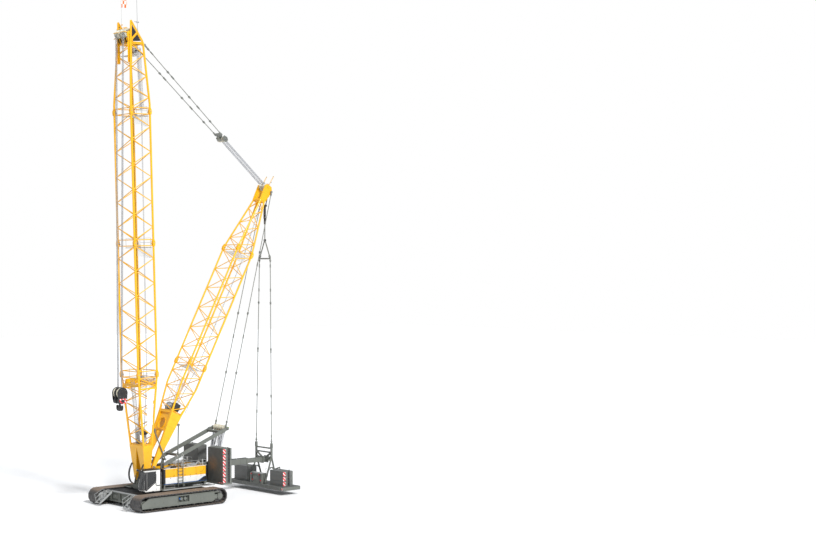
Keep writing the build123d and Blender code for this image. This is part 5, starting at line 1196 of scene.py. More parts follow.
def foot_fittings():
    """Boom foot: plate seams, pivot caps, gussets and the stiff bracing under the first joint."""
    s = Shapes(MAIN, YELLOW)
    for sy in BOTH:
        for y, out in ((0.458, 1), (0.232, -1)):
            s.turned((0, sy * y, 0), (0, sy * out, 0), [(0, 0.078), (0.012, 0.078), (0.016, 0.07),
                (0.016, 0.03)], FRAME, 28)
        for z in (0.42, 0.86, 1.3):
            half = 0.15 + (z - 0.07) * 0.0734 + 0.004
            face = 0.422 + max(0, z - 0.14) * 0.111 + 0.002
            s.beam((-half, sy * face, z), (half, sy * face, z), 0.012, 0.012)
        for z in (0.35, 0.6, 0.85, 1.1, 1.35):
            half = 0.15 + (z - 0.07) * 0.0734
            s.bolt((half - 0.03, sy * (0.424 + (z - 0.14) * 0.111), z), (0, sy, 0), 0.009, YELLOW)
    for sx in BOTH:
        for y0, y1 in ((-0.573, -0.3), (0.3, 0.573)):
            s.box((sx * 0.25, sx * 0.262), (y0, y1), (1.47, 1.61))
    for sx, sy in CORNERS:                      # gussets that carry the main tubes
        x, y = sx * 0.218, sy * 0.536
        s.plate([(x - 0.05, 1.59), (x + 0.05, 1.59), (x + 0.028 * (1 + sx), 1.82),
            (x - 0.028 * (1 - sx), 1.82)], "y", about(y, 0.012))
        s.plate(tapered(y, 0.06, 1.59, 0.02, 1.8), "x", about(x, 0.012))
    for sy in BOTH:                             # stiff bracing under the first joint
        for x in (-0.49, 0.49):
            s.beam((x, sy * 0.67965, 4.25), (-x, sy * 0.67965, 4.55), 0.03, 0.03, up=LEFT)
        s.beam((-0.49, sy * 0.675, 4.2), (0.49, sy * 0.675, 4.2), 0.05, 0.07)
        s.plate([(-0.48, 4.36), (0.46, 4.36), (0.4, 4.62), (-0.48, 4.62)], "y", (sy * 0.52, sy * 0.532))
    for x in (-0.47, 0.44):
        s.box((x, x + 0.03), (-0.66, 0.66), (4.3, 4.42))
    s.piece("boom_foot_fittings", "main_boom", "crane_yellow")


def banner_board():
    """The blank board on the left side of the boom foot, framed and strapped to the tubes."""
    s = Shapes()
    y = 0.7
    s.plate(rectangle(0.735, 1.03, 3.74, 5.235), "y", about(y, 0.004), BANNER_WHITE)
    frame = [(0.738, y, 3.743), (1.027, y, 3.743), (1.027, y, 5.232), (0.738, y, 5.232)]
    s.tubes([frame + frame[:1]], 0.007, BANNER_WHITE)
    for z in (3.9, 4.5, 5.1):
        for x in (0.755, 1.01):
            s.turned((x, y + 0.003, z), LEFT, [(0, 0.01), (0.002, 0.01), (0.002, 0.006)], STEEL, 12)
            s.rod((x, y, z), (x, 0.62, z), 0.005, RAIL, 8)
        s.rod((0.6, 0.62, z), (1.16, 0.62, z), 0.008, RAIL, 8)
    s.piece("banner_board", "main_boom", "house_white")


def hose_loops():
    """Rubber hoses that hang in loops from the platform to both legs of the boom foot."""
    loop = ((1.14, 0.02, 0.99), (1.25, 0.07, 1.16), (1.27, 0.11, 1.42), (1.2, 0.14, 1.7))
    for k in range(5):
        y, out = 0.3 + 0.019 * k, 0.004 * k
        for sy, side in ((1, "left"), (-1, "right")):
            start, end = Vector((1.0, sy * (y - 0.02), 0.97)), Vector((1.085, sy * (y + 0.13), 1.93))
            line = [start, *[Vector((px + out, sy * (y + py), pz)) for px, py, pz in loop], end]
            hose = settle(f"boom_hose_{side}_{k + 1}", pipes([rounded(line, 5)], 0.014, HOSE, 10), None)
            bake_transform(hose)


def winch_drum(s, x, z, half, drum, flange):
    """A winch: flanges with ribs, a drum wound with rope, a gear case at one end."""
    for sy in BOTH:
        y = sy * half
        s.turned((x, y + sy * 0.001, z), (0, -sy, 0), [(0, 0.05), (0, flange), (0.006, flange + 0.003),
            (0.02, flange + 0.003), (0.026, flange), (0.026, drum)], RAIL, 40)
        s.turned((x, y, z), (0, sy, 0), [(0, drum * 0.82), (0.03, drum * 0.82), (0.034, drum * 0.76),
            (0.034, 0.03)], RAIL, 28)
        s.bolt_circle((x, y + sy * 0.034, z), drum * 0.66, 8, sy, 0.008)
    pitch = 0.017
    turns = int((2 * half - 0.06) / pitch)
    profile = [(0, drum * 0.8)]
    for at in [k * pitch for k in range(turns)]:
        profile += [(at, drum + 0.002), (at + 0.004, drum + 0.009), (at + 0.0125, drum + 0.009)]
    profile += [(turns * pitch, drum + 0.002), (turns * pitch, drum * 0.8)]
    s.turned((x, -turns * pitch / 2, z), LEFT, profile, ROPE, 40)


def boom_winches():
    """The rope winches in the feet of both booms."""
    s = Shapes(MAIN)
    winch_drum(s, 0, 2.15, 0.26, 0.11, 0.165)
    s.turned((0, 0.29, 2.15), LEFT, [(0, 0.085), (0.1, 0.085), (0.12, 0.06), (0.19, 0.06), (0.19, 0.02)], BLACK)
    s.piece("boom_winch_drum", "main_boom", "machine_grey")
    s = Shapes(DERRICK)
    winch_drum(s, 0.06, 3.0, 0.23, 0.15, 0.215)
    s.turned((0.06, 0.26, 3.0), LEFT, [(0, 0.1), (0.08, 0.1), (0.1, 0.07), (0.16, 0.07), (0.16, 0.02)], BLACK)
    s.box((-0.1, 0.26), (0.3, 0.47), (2.8, 3.16), BLACK, 0.03)
    s.piece("derrick_winch_drum", "derrick", "machine_grey")


def derrick_fittings():
    """Derrick boom: arch panel edge, pivots, head plates with bosses, fairlead posts, lamps."""
    s = Shapes(DERRICK, YELLOW)
    for k in range(32):
        t0, t1 = [2 * pi * (k + j) / 32 for j in (0, 1)]
        a, b = (Vector((0.217, 0.27 * cos(t), 2.1 + 0.27 * sin(t))) for t in (t0, t1))
        s.beam(a, b, 0.014, 0.05, up=AHEAD)
    for y in (-0.4, 0.4):
        s.beam((0.218, y, 1.78), (0.218, y, 2.68), 0.016, 0.03, up=AHEAD)
    for z in (2.66, 1.79):
        s.beam((0.218, -0.41, z), (0.218, 0.41, z), 0.016, 0.04, up=AHEAD)
    for sy in BOTH:
        s.turned((0, sy * 0.504, 0), (0, sy, 0), [(0, 0.066), (0.012, 0.066), (0.016, 0.058), (0.016, 0.02)],
            FRAME, 28)
        for z in (0.5, 1.0, 1.5, 2.0, 2.4):
            half = 0.085 + (z - 0.06) * 0.0814
            face = 0.468 + (z - 0.06) * 0.0292
            s.beam((-half, sy * (face + 0.002), z), (half, sy * (face + 0.002), z), 0.01, 0.01)
            s.bolt((half - 0.03, sy * (face + 0.001), z + 0.08), (0, sy, 0), 0.009, YELLOW)
        for sx in BOTH:
            x, y = sx * 0.27, sy * 0.5
            s.plate(tapered(x, 0.05, 2.73, 0.02, 2.95), "y", about(y, 0.012))
        tip = 14.75
        s.turned((0, sy * 0.292, tip), (0, sy, 0), [(0, 0.085), (0.012, 0.085), (0.016, 0.075), (0.016, 0.05),
            (0.044, 0.046), (0.044, 0.01)], sides=28)
        s.turned((-0.22, sy * 0.2925, tip - 0.4), (0, sy, 0), [(0, 0.05), (0.01, 0.05), (0.012, 0.04)],
            sides=20)
        outline = [(0.17, 13.99), (0.2, tip), (0.1, tip + 0.1), (-0.17, tip + 0.08), (-0.3, tip - 0.13),
            (-0.23, tip - 0.42), (-0.16, 13.99)]
        for a, b in zip(outline, outline[1:] + outline[:1]):
            s.beam((a[0], sy * 0.294, a[1]), (b[0], sy * 0.294, b[1]), 0.014, 0.022, up=LEFT)
        for k in range(5):
            s.bolt((0.12, sy * 0.2925, 14.12 + 0.12 * k), (0, sy, 0), 0.009)
    s.piece("derrick_fittings", "derrick", "crane_yellow")
    s = Shapes(DERRICK)
    for sy in BOTH:
        a, b = Vector((-0.002, sy * 0.275, 14.83)), Vector((-0.06, sy * 0.275, 15.36))
        s.tubes([[a, b]], 0.0205, RAIL, 10)
        s.box((-0.085, -0.035), (sy * 0.25, sy * 0.3), (15.02, 15.06), RAIL)
        s.turned((-0.058, sy * 0.275, 15.345), UP, [(0, 0.022), (0.012, 0.026), (0.02, 0.02)], BLACK, 12)
    s.rod((0.05, -0.26, 14.9), (0.05, 0.26, 14.9), 0.012, RAIL, 10)
    s.box((0.1, 0.19), (-0.05, 0.05), (14.82, 14.92), RAIL)
    s.piece("derrick_head_posts", "derrick", "grey_steel")
    s = Shapes(DERRICK)
    ropes = [[(-0.09, y, 3.0), (-0.36, y, 5.3), (-0.36, y, 11.1), (-0.08, y * 0.6, 14.3)] for y in (0.08, 0.12)]
    s.tubes(ropes, 0.0066, ROPE)
    s.tubes([[(-0.42, 0.53, 2.9), (-0.43, 0.54, 5.2), (-0.43, 0.54, 11.2), (-0.13, 0.27, 13.9)]], 0.006, HOSE)
    mesh_panel(s, moved(0.1, 0.12, 3.75, -86), 1.1, 0.42, 0.045, 0.005)
    cable_ladder(s, 0.22, -0.12, 2.85, 5.0, 0.26, 0.1, 0.12)
    s.piece("derrick_inner_lines", "derrick", "grey_steel")


def rope_wheels():
    """Grooved rope wheels at the head of the main boom, of the derrick and of the A-frame."""
    s = Shapes()
    for sy in BOTH:
        rope_wheel(s, (SHEAVE_X, sy * 0.06, SHEAVE_Z), sy, 0.38, 0.205, 0.026, 8)
        sheave_cheek(s, SHEAVE_X, sy * 0.44, SHEAVE_Z, sy, 0.2)
    s.piece("hoist_rope_wheels", "boom_sheaves", "sheave_cream", ["hoist_sheaves"])
    s = Shapes(DERRICK)
    for sy in BOTH:
        rope_wheel(s, (0, sy * 0.03, 14.75), sy, 0.21, 0.17, 0.024, 5)
    s.piece("derrick_rope_wheels", "derrick", "sheave_cream", ["derrick_sheaves"])


lattice("boom_tubes", "main_boom", MAIN, MAIN_SECTIONS, 0.0487, 0.0214)
lattice("derrick_tubes", "derrick", DERRICK, DERRICK_SECTIONS, 0.0427, 0.0194)
section_joints("boom_joint_pins", "main_boom", MAIN, MAIN_JOINTS, WIDE)
section_joints("derrick_joint_pins", "derrick", DERRICK, DERRICK_JOINTS, NARROW)
rest_platforms()
boom_lines()
boom_head_fittings()
foot_fittings()
banner_board()
hose_loops()
boom_winches()
derrick_fittings()
rope_wheels()


# ------------------------------------------------ ropes, pendants, hook and flag
STAY = moved(0.95, 0, 21.1, -131.07)
BACK = moved(-6.3784, 0, 14.5991, 166.0)
A_FRAME = moved(0, 0, 1.85, -68.48)
STAY_LENGTH, STAY_FALLS, BACK_LENGTH = 6.095, (6.2, 9.302), 11.696
HOIST_X, BLOCK_Z = 2.0403, 5.22
ROD_X, ROD_FOOT_X, ROD_FOOT_Z, PULL_TOP = -6.2371, -6.175, 2.29, 14.3908     # ballast rods, top of the cylinder
LOW_BLOCK_X, LOW_BLOCK_Z = -3.01, 1.11          # lower pulley block of the A-frame ropes
ROPE_SPLIT = 8.9     # where upper ropes end: it stays under the head at full luff, over the block at full hoist
FALL_HEAD, FALL_BLOCK = (0.215, 0.262, 0.309, 0.356), (0.085, 0.125, 0.165, 0.205)


def moving_lines(name, lines, radius, replaced=(), sides=8):
    """Taut ropes between two bodies, made as tubes that ride on no body."""
    thing = settle(name, pipes(lines, radius, PALE_ROPE, sides), None, replaced)
    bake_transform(thing)


def hoist_ropes():
    """Eight falls from the head to the hook block, closer together below, and their turns round the wheels."""
    share = (SHEAVE_Z - ROPE_SPLIT) / (SHEAVE_Z - BLOCK_Z)
    upper, lower = [], []
    for sy in BOTH:
        for head, low in zip(FALL_HEAD, FALL_BLOCK):
            middle = (HOIST_X, sy * (head + share * (low - head)), ROPE_SPLIT)
            upper.append([(HOIST_X, sy * head, SHEAVE_Z), middle])
            lower.append([middle, (HOIST_X, sy * low, BLOCK_Z)])
    moving_lines("hoist_ropes_upper", upper, 0.0085,
        ["hoist_falls"])
    moving_lines("hoist_ropes_lower", lower, 0.0085)
    angles = [radians(-12 + 13 * k) for k in range(13)]
    turns = [[(SHEAVE_X + 0.19 * cos(t), sy * head, SHEAVE_Z + 0.19 * sin(t)) for t in angles] for sy in BOTH
        for head in FALL_HEAD]
    settle("hoist_rope_turns", pipes(turns, 0.0085, PALE_ROPE, 8), "boom_sheaves")


def stay_ropes():
    """Ten falls between the pulley block of the pendants and the derrick head."""
    lines = [[STAY @ Vector((0.0, sy * 0.045 * (k + 1), z)) for z in STAY_FALLS] for sy in BOTH
        for k in range(5)]
    moving_lines("stay_ropes", lines, 0.0085, ["stay_falls"])


def a_frame_ropes():
    """The many falls that pull the A-frame down, fanned between both pulley blocks."""
    lines = []
    for sy in BOTH:
        for k in range(9):
            low, high = 0.155 + 0.028 * k, 0.04 + 0.05 * ((k * 5) % 9)
            lines.append([(LOW_BLOCK_X + 0.04 * (k % 3), sy * low, LOW_BLOCK_Z),
                (-3.48 + 0.05 * (k % 3 - 1), sy * high, 3.08)])
            lines.append([(-3.03 - 0.03 * (k % 2), sy * (0.382 - 0.028 * k), LOW_BLOCK_Z),
                (-3.5 + 0.04 * (k % 2), sy * (0.44 - 0.048 * ((k * 4) % 9)), 3.08)])
            lines.append([(-2.97 + 0.02 * (k % 2), sy * (0.17 + 0.023 * k), LOW_BLOCK_Z),
                (-3.44 + 0.02 * (k % 3), sy * (0.06 + 0.045 * ((k * 7) % 9)), 3.08)])
    moving_lines("a_frame_ropes", lines, 0.0065,
        ["a_frame_falls"], 6)


def hook_block_piece():
    """The hook block: two wheel packs between round cheeks, weights below, striped plate at the foot."""
    s = Shapes(moved(HOIST_X, 0, BLOCK_Z))
    cheek = [(0.268 * cos(t), 0.268 * sin(t)) for t in [radians(-18 + 12 * k) for k in range(19)]]
    cheek += [(-0.245, -0.3), (-0.2, -0.47), (0.02, -0.5), (0.2, -0.42), (0.245, -0.22)]
    for y in (-0.24, -0.052, 0.03, 0.218):
        s.plate(cheek, "y", (y, y + 0.022), BLACK, 0.004)
    for sy in BOTH:
        rope_wheel(s, (0, sy * 0.056, 0), sy, 0.158, 0.235, 0.026, 4)
        s.box((-0.19, 0.19), (sy * 0.056, sy * 0.214), (-0.46, -0.255), BLACK, 0.012)
        s.turned((0, sy * 0.24, 0), (0, sy, 0), [(0, 0.085), (0.014, 0.085), (0.02, 0.07), (0.02, 0.045),
            (0.036, 0.04), (0.036, 0.012)], BLACK)
        s.bolt_circle((0, sy * 0.24, 0), 0.19, 6, sy, 0.01, 0.3)
        s.plate([(-0.215, -0.25), (0.165, -0.25), (0.15, -0.4), (0.03, -0.47), (-0.19, -0.47)], "y",
            (sy * 0.241, sy * 0.246), HAZARD)
        s.rod((-0.02, sy * 0.246, -0.415), (-0.02, sy * 0.258, -0.415), 0.036, BLACK, 20)
        arc_guard = [(0.25 * cos(t), sy * 0.1, 0.25 * sin(t))
            for t in [radians(40 + 10 * k) for k in range(11)]]
        s.tubes([arc_guard], 0.007, BLACK)
    s.box((-0.085, 0.085), (-0.285, 0.285), (-0.395, -0.295), BLACK, 0.012)
    s.piece("hook_block_body", "hook_block", "black_parts", ["hook_block"])


def hook_fittings():
    """Collar, nut guard and spring latch of the hook."""
    s = Shapes(moved(HOIST_X, 0, 0))
    s.turned((0, 0, 4.775), UP, [(0, 0.052), (0.006, 0.06), (0.036, 0.06), (0.042, 0.052)], FORGED)
    for x in (0.012, -0.012):
        s.beam((0.0, 0.055, 4.66), (x, 0.165, 4.575), 0.012, 0.02, STEEL, AHEAD)
    s.rod((-0.035, 0.05, 4.665), (0.035, 0.05, 4.665), 0.014, STEEL)
    s.piece("hook_fittings", "hook", "black_parts")


def pendant_joint(s, place, size):
    """Fork, eye and pin of one joint in a pendant; the pendant runs along the place's own Z."""
    outer, s.place = s.place, s.place @ place
    fork, eye = ((1, -2.2), (1.3, -0.4), (1.1, 1)), ((1, 2.6), (1.2, 0.2), (0.8, -1))
    for half, span in ((fork, (-0.03, -0.018)), (fork, (0.018, 0.03)), (eye, (-0.013, 0.013))):
        s.plate([(x * size, z * size) for x, z in half] + [(-x * size, z * size) for x, z in reversed(half)],
            "y", span, PENDANT)
    s.turned((0, -0.042, 0), LEFT, [(0, 0.012), (0.003, 0.017), (0.081, 0.017), (0.084, 0.012)], STEEL, 14)
    s.place = outer


def joints_along(s, a, b, shares, size):
    """Pinned joints at shares of the way between two places."""
    a, b = Vector(a), Vector(b)
    turn = (b - a).to_track_quat("Z", "Y").to_matrix().to_4x4()
    for share in shares:
        pendant_joint(s, Matrix.Translation(a.lerp(b, share)) @ turn, size)


def pendants():
    """Joints, sockets and pins in the pendants, the back stays and the ballast rods."""
    s = Shapes(STAY)
    for sy in BOTH:
        joints_along(s, (0, sy * 0.375, 0.0), (0, sy * 0.24, 5.765), (0.045, 0.3, 0.58, 0.86), 0.03)
        for z in (0.06, 0.42):
            s.rod((0, sy * 0.372, z), (0, sy * 0.37, z + 0.2), 0.03, PENDANT)
        s.tubes([[(0, sy * 0.375, 0.0), (0, sy * 0.24, 5.765)]], 0.018, PENDANT, 10)
        rope_wheel(s, (0, sy * 0.012, STAY_LENGTH + 0.06), sy, 0.236, 0.128, 0.02, 5, 32)
        s.turned((0, sy * 0.274, STAY_LENGTH + 0.06), (0, sy, 0),
            [(0, 0.05), (0.012, 0.05), (0.016, 0.04), (0.016, 0.015)], STEEL, 20)
    s.tubes([[(x, -0.27, 6.1), (x, 0.27, 6.1)] for x in (-0.11, 0.11)], 0.01, STEEL)
    s.piece("stay_links", "stays", "machine_grey")
    s = Shapes(BACK)
    for sy in BOTH:
        ends = ((0, sy * 0.345, 0.0), (0, sy * 0.43, BACK_LENGTH))
        joints_along(s, *ends, (0.012, 0.26, 0.52, 0.77, 0.975), 0.028)
        s.tubes([ends], 0.018, PENDANT, 10)
    s.piece("back_stay_links", "back_stays", "machine_grey")
    s = Shapes()
    x = ROD_X
    for sy in BOTH:
        foot = (ROD_FOOT_X, sy * 0.61, ROD_FOOT_Z)
        joints_along(s, (x, sy * 0.43, 11.35), foot, (0.012, 0.24, 0.49, 0.74, 0.985), 0.028)
        s.tubes([[(x, sy * 0.43, 11.35), foot]], 0.0195, PENDANT, 10)
        joints_along(s, (x, 0, 12.25), (x, sy * 0.43, 11.35), (0.9,), 0.034)
        for z in (2.42, 2.62):
            up = z - ROD_FOOT_Z
            y, x_here = 0.61 - up * 0.0199, ROD_FOOT_X - up * 0.00686
            s.rod((x_here, sy * y, z), (x_here, sy * (y - 0.003), z + 0.15), 0.03, PENDANT)
    s.tubes([[(x, -0.42, 11.33), (x, 0.42, 11.33)]], 0.02, PENDANT, 10)
    s.turned((x, -0.05, 12.25), LEFT, [(0, 0.045), (0.004, 0.05), (0.096, 0.05), (0.1, 0.045)], STEEL, 20)
    s.piece("ballast_rod_links", "ballast_rods", "machine_grey")
    s = Shapes()
    x, z = ROD_X, PULL_TOP
    for dz, r in ((-0.22, 0.06), (-1.05, 0.058), (-1.28, 0.058)):
        s.turned((x, 0, z + dz), UP, [(0, 0.046), (0, r - 0.004), (0.005, r), (0.035, r), (0.04, r - 0.004),
            (0.04, 0.046)], STEEL, ring=True)
    s.tubes([[(x + 0.05, 0.03, z - 0.3), (x + 0.065, 0.03, z - 0.75), (x + 0.055, 0.02, z - 1.2)],
        [(x + 0.05, -0.03, z - 0.3), (x + 0.07, -0.03, z - 0.7), (x + 0.055, -0.02, z - 1.1)]], 0.008, HOSE)
    s.piece("pull_cylinder_fittings", "pull_cylinder", "black_parts")


FLAG_X, FLAG_S, FLAG_Y = (-0.268, 0.03), (21.68, 22.18), -0.598
FLAG_ACROSS, FLAG_UP = 24, 36


def flag():
    """A checked flag that hangs in soft folds from its thin mast, held along one edge."""
    points, faces = [], []
    width, height = FLAG_X[1] - FLAG_X[0], FLAG_S[1] - FLAG_S[0]
    for j in range(FLAG_UP + 1):
        for i in range(FLAG_ACROSS + 1):
            u, v = i / FLAG_ACROSS, j / FLAG_UP
            free = sin(u * pi / 2)
            wave = 0.016 * free * sin(7.5 * u + 2.2 * v + 0.4) + 0.007 * free * sin(13 * u - 3.1 * v)
            dip = 0.018 * u * u * (0.4 + 0.6 * v)
            points.append(MAIN @ Vector((FLAG_X[1] - width * u * (1 - 0.03 * v), FLAG_Y + wave,
                FLAG_S[0] + height * v - dip)))
    row = FLAG_ACROSS + 1
    for j in range(FLAG_UP):
        for i in range(FLAG_ACROSS):
            faces.append([j * row + i, j * row + i + 1, (j + 1) * row + i + 1, (j + 1) * row + i])
    mesh = bpy.data.meshes.new("flag_cloth")
    mesh.from_pydata(points, [], faces)
    mesh.materials.append(FLAG_CLOTH.material)
    cloth = settle("flag_cloth", mesh, "main_boom", smooth=180)
    wall = cloth.modifiers.new("thickness", "SOLIDIFY")
    wall.thickness = 0.0016
    wall.offset = 0.0


def flag_pole():
    """The thin mast of the flag, with its clamps and eyes."""
    s = Shapes(MAIN)
    s.tubes([[(0.042, FLAG_Y, 20.56), (0.042, FLAG_Y, 22.28)]], 0.0105, MESH, 12)
    s.turned((0.042, FLAG_Y, 22.27), UP, [(0, 0.008), (0.006, 0.015), (0.016, 0.015), (0.02, 0.008)], MESH, 12)
    for z in (20.6, 20.86):
        s.box((0.02, 0.064), (FLAG_Y - 0.02, FLAG_Y + 0.07), (z, z + 0.035), YELLOW)
    for z in (21.69, 21.93, 22.16):
        s.turned((0.042, FLAG_Y, z), UP, [(0, 0.011), (0, 0.015), (0.01, 0.015), (0.01, 0.011)], STEEL, 12)
    s.piece("flag_pole", "main_boom", "grey_steel", ["flag_mast"])


hoist_ropes()
stay_ropes()
a_frame_ropes()
hook_block_piece()
hook_fittings()
pendants()
flag_pole()
flag()


# ------------------------------------------------ house, walkways and cab
HOUSE_X, HOUSE_OUT, HOUSE_LOW, HOUSE_MID, HOUSE_TOP = (-2.24, 0.175), 0.75, 0.96, 1.24, 1.65
HOUSE_IN = 0.408
WALK_IN, WALK_OUT, WALK_TOP = 0.76, 1.23, 0.766


def house_panels():
    """Doors, seams, blue edge and black rear cut of both houses; the rear cut is a black plate, painted shade
    for the dark opening under its curved edge.
    """
    s = Shapes(finish=BLACK)
    y = HOUSE_OUT
    x0, x1 = HOUSE_X
    for low, high, finish in ((HOUSE_LOW + 0.006, HOUSE_MID - 0.006, HOUSE),
            (HOUSE_MID + 0.006, HOUSE_TOP - 0.012, YELLOW)):
        for a, b in ((x1 - 0.1, -0.38), (-0.39, -1.0), (-1.01, -1.62), (-1.63, -2.17)):
            s.box((a, b), (y - 0.01, y + 0.009), (low, high), finish, 0.007)
    s.box((x1 - 0.1, x1 + 0.006), (HOUSE_IN - 0.002, y + 0.011), (HOUSE_LOW, HOUSE_TOP + 0.004))
    for k in range(6):
        s.box((x1 + 0.004, x1 + 0.014), (HOUSE_IN + 0.03, y - 0.03), (1.05 + 0.085 * k, 1.1 + 0.085 * k),
            PLASTIC, 0.003)
    s.box((x0 - 0.008, x0 + 0.065), (y - 0.33, y + 0.012), (HOUSE_LOW - 0.01, HOUSE_TOP + 0.01))
    s.box((x0, x1), (y - 0.016, y + 0.012), (HOUSE_TOP - 0.01, HOUSE_TOP + 0.012), HOUSE)
    s.box((x0, x1), (y - 0.016, y + 0.011), (HOUSE_LOW - 0.02, HOUSE_LOW - 0.004), TRIM_BLUE)
    s.box((x0, x1), (y - 0.016, y + 0.006), (HOUSE_LOW - 0.042, HOUSE_LOW - 0.02))
    # the rear cut-out is a black plate laid on the panel: painted shade for the opening, edged with a blue tube
    cut = [(-1.66 - 0.5 * t, HOUSE_LOW - 0.004 + 0.185 * (1 - cos(pi * t)) / 2)
        for t in [k / 14 for k in range(15)]]
    s.plate(cut + [(-2.18, HOUSE_LOW + 0.18), (-2.18, HOUSE_LOW - 0.004)], "y", (y + 0.008, y + 0.0125))
    s.tubes([[(px, y + 0.011, pz + 0.008) for px, pz in cut]], 0.0085, TRIM_BLUE)
    bend = [(-1.9 - 0.17 * sin(t), y + 0.0095, 1.38 + 0.16 * (1 - cos(t)))
        for t in [radians(12 * k - 30) for k in range(13)]]
    s.tubes([bend], 0.0045, sides=6)
    for a in (-0.2, -0.72, -1.3, -1.9):
        for z in (HOUSE_MID + 0.03, HOUSE_LOW + 0.24):
            s.box(about(a, 0.03), (y + 0.008, y + 0.016), (z, z + 0.014), edge=0.003)
    for a in (-0.35, -0.42, -0.97, -1.04, -1.59, -1.66):
        for z in (1.3, 1.58):
            s.box(about(a, 0.008), (y + 0.006, y + 0.014), about(z, 0.022), edge=0.003)
    s.mirrored().piece("house_panels", "superstructure", "house_white")


def roof_machinery():
    """Hoods, fan cover, ducts, pipes and guard rails on both houses."""
    s = Shapes()
    z = HOUSE_TOP
    s.box((-1.16, -1.7), (0.46, 0.7), (z + 0.002, z + 0.1), RAIL, 0.03)
    for k in range(11):
        x = -1.19 - 0.048 * k
        s.tubes([[(x, 0.465, z + 0.1), (x, 0.5, z + 0.135), (x, 0.66, z + 0.135), (x, 0.695, z + 0.1)]], 0.007,
            MESH)
    s.box((-0.3, -0.58), (0.45, 0.7), (z + 0.002, z + 0.075), BLACK, 0.02)
    s.box((0.02, -0.24), (0.44, 0.72), (z + 0.002, z + 0.045), RAIL, 0.015)
    s.box((-0.9, -1.1), (0.44, 0.62), (z + 0.002, z + 0.14), RAIL, 0.03)
    duct = rounded([(-1.72, 0.6, z + 0.05), (-1.78, 0.6, z + 0.16), (-1.95, 0.57, z + 0.17),
        (-2.02, 0.55, z + 0.02)], 6)
    s.tubes([duct], 0.038, RAIL, 14)
    s.turned((-2.08, 0.62, z), UP, [(0, 0.05), (0.01, 0.056), (0.12, 0.056), (0.14, 0.036), (0.25, 0.036),
        (0.27, 0.03)], RAIL)
    for k in range(4):
        pipe = rounded([(-0.1 - 0.05 * k, 0.5 + 0.03 * k, z + 0.03),
            (-0.45, 0.48 + 0.03 * k, z + 0.12 + 0.012 * k), (-0.8, 0.46 + 0.03 * k, z + 0.1),
            (-1.15, 0.52 + 0.03 * k, z + 0.08)], 5)
        s.tubes([pipe], 0.011, (HOSE, RAIL)[k % 2])
    rails = [[(x, 0.735, z), (x, 0.735, z + 0.26)] for x in (-0.95, -1.35, -1.75, -2.2)]
    rails += [[(-0.95, 0.735, z + h), (-2.2, 0.735, z + h), (-2.2, HOUSE_IN, z + h)] for h in (0.13, 0.26)]
    rails += [[(-2.2, HOUSE_IN, z), (-2.2, HOUSE_IN, z + 0.26)]]
    s.tubes(rails, 0.0075, RAIL)
    s.mirrored().piece("roof_machinery", "superstructure", "grey_steel")


def winch_drums():
    """Rope drums between the houses, with their pipes and the plate in front of them."""
    s = Shapes()
    for x in (-0.7, -1.35, -2.0):
        winch_drum(s, x, 1.23, 0.3, 0.13, 0.19)
        s.rod((x + 0.16, 0.25, 1.02), (x + 0.16, -0.25, 1.02), 0.014, HOSE, 8)
    for k in range(5):
        y = -0.1 + 0.05 * k
        s.tubes([rounded([(0.45, y, 0.975), (0.2, y, 1.03), (-0.3, y, 1.0), (-0.46, y, 1.05)], 5)], 0.01, HOSE)
    s.box((0.3, 0.62), (-0.22, 0.22), (0.962, 1.03), FRAME, 0.012)
    s.box((0.36, 0.56), (-0.16, 0.16), (1.03, 1.07), BLACK, 0.01)
    s.piece("winch_drums", "superstructure", "machine_grey")


def walkway_trim():
    """Gratings, black mats, kick rails and hand holds of both walkways."""
    s = Shapes()
    for sy, front in ((1, 0.5), (-1, 0.96)):
        x = front
        while x > -2.3:
            end = max(x - 0.46, -2.34)
            if sy > 0 and (-1.35 < (x + end) / 2 < -0.2 or (x + end) / 2 < -1.8):
                s.box((x - 0.01, end + 0.006), (sy * (WALK_IN + 0.02), sy * (WALK_OUT - 0.02)),
                    (WALK_TOP, WALK_TOP + 0.012), DECK_GRIP)
            else:
                s.take(grating(x - end - 0.012, 0.43, 14, 8, 0.004, FRAME), FRAME,
                    moved((x + end) / 2, sy * (WALK_IN + WALK_OUT) / 2, WALK_TOP + 0.006))
            x = end
        s.box((front, -2.35), (sy * (WALK_OUT - 0.004), sy * (WALK_OUT + 0.004)), (0.744, 0.803), RAIL)
    y = WALK_OUT + 0.008
    loop = [(0.46, y, 0.78), (0.46, y, 0.95), (0.42, y, 0.99), (-0.06, y, 0.97), (-0.1, y, 0.93),
        (-0.1, y, 0.78)]
    s.tubes([loop, [(0.46, y, 0.87), (-0.1, y, 0.86)]], 0.0075, RAIL)
    for sy in BOTH:
        for dx in (0.0, 0.1):
            hold = [(-2.2 - dx, sy * 1.236, 0.76), (-2.32 - dx, sy * 1.24, 0.745), (-2.4 - dx, sy * 1.24, 0.64),
                (-2.44 - dx * 0.6, sy * 1.24, 0.46)]
            s.tubes([rounded(hold, 6)], 0.0065, HOUSE)
    s.piece("walkway_trim", "superstructure", "grey_steel")
    s = Shapes()
    for z in (1.1, 1.56, 2.02):
        for x in (-0.86, -0.59):
            s.box(about(x, 0.012), (0.752, 0.8), about(z, 0.012), MESH)
    loops = [[(x, 0.81, 2.14), (x, 0.79, 2.24), (x, 0.7, 2.28), (x, 0.64, 2.2), (x, 0.64, 1.66)]
        for x in (-0.88, -0.57)]
    s.tubes(loops, 0.009, MESH)
    s.piece("ladder_trim", "superstructure", "grey_steel")


CAB_SIDE, CAB_IN = 1.3, 0.8
GLASS_RIM = ((0.977, 1.215), (1.4, 0.96), (1.4, 1.655), (0.977, 1.655))
DARK_RIM = ((0.948, 1.185), (1.432, 0.856), (1.432, 1.684), (0.948, 1.684))


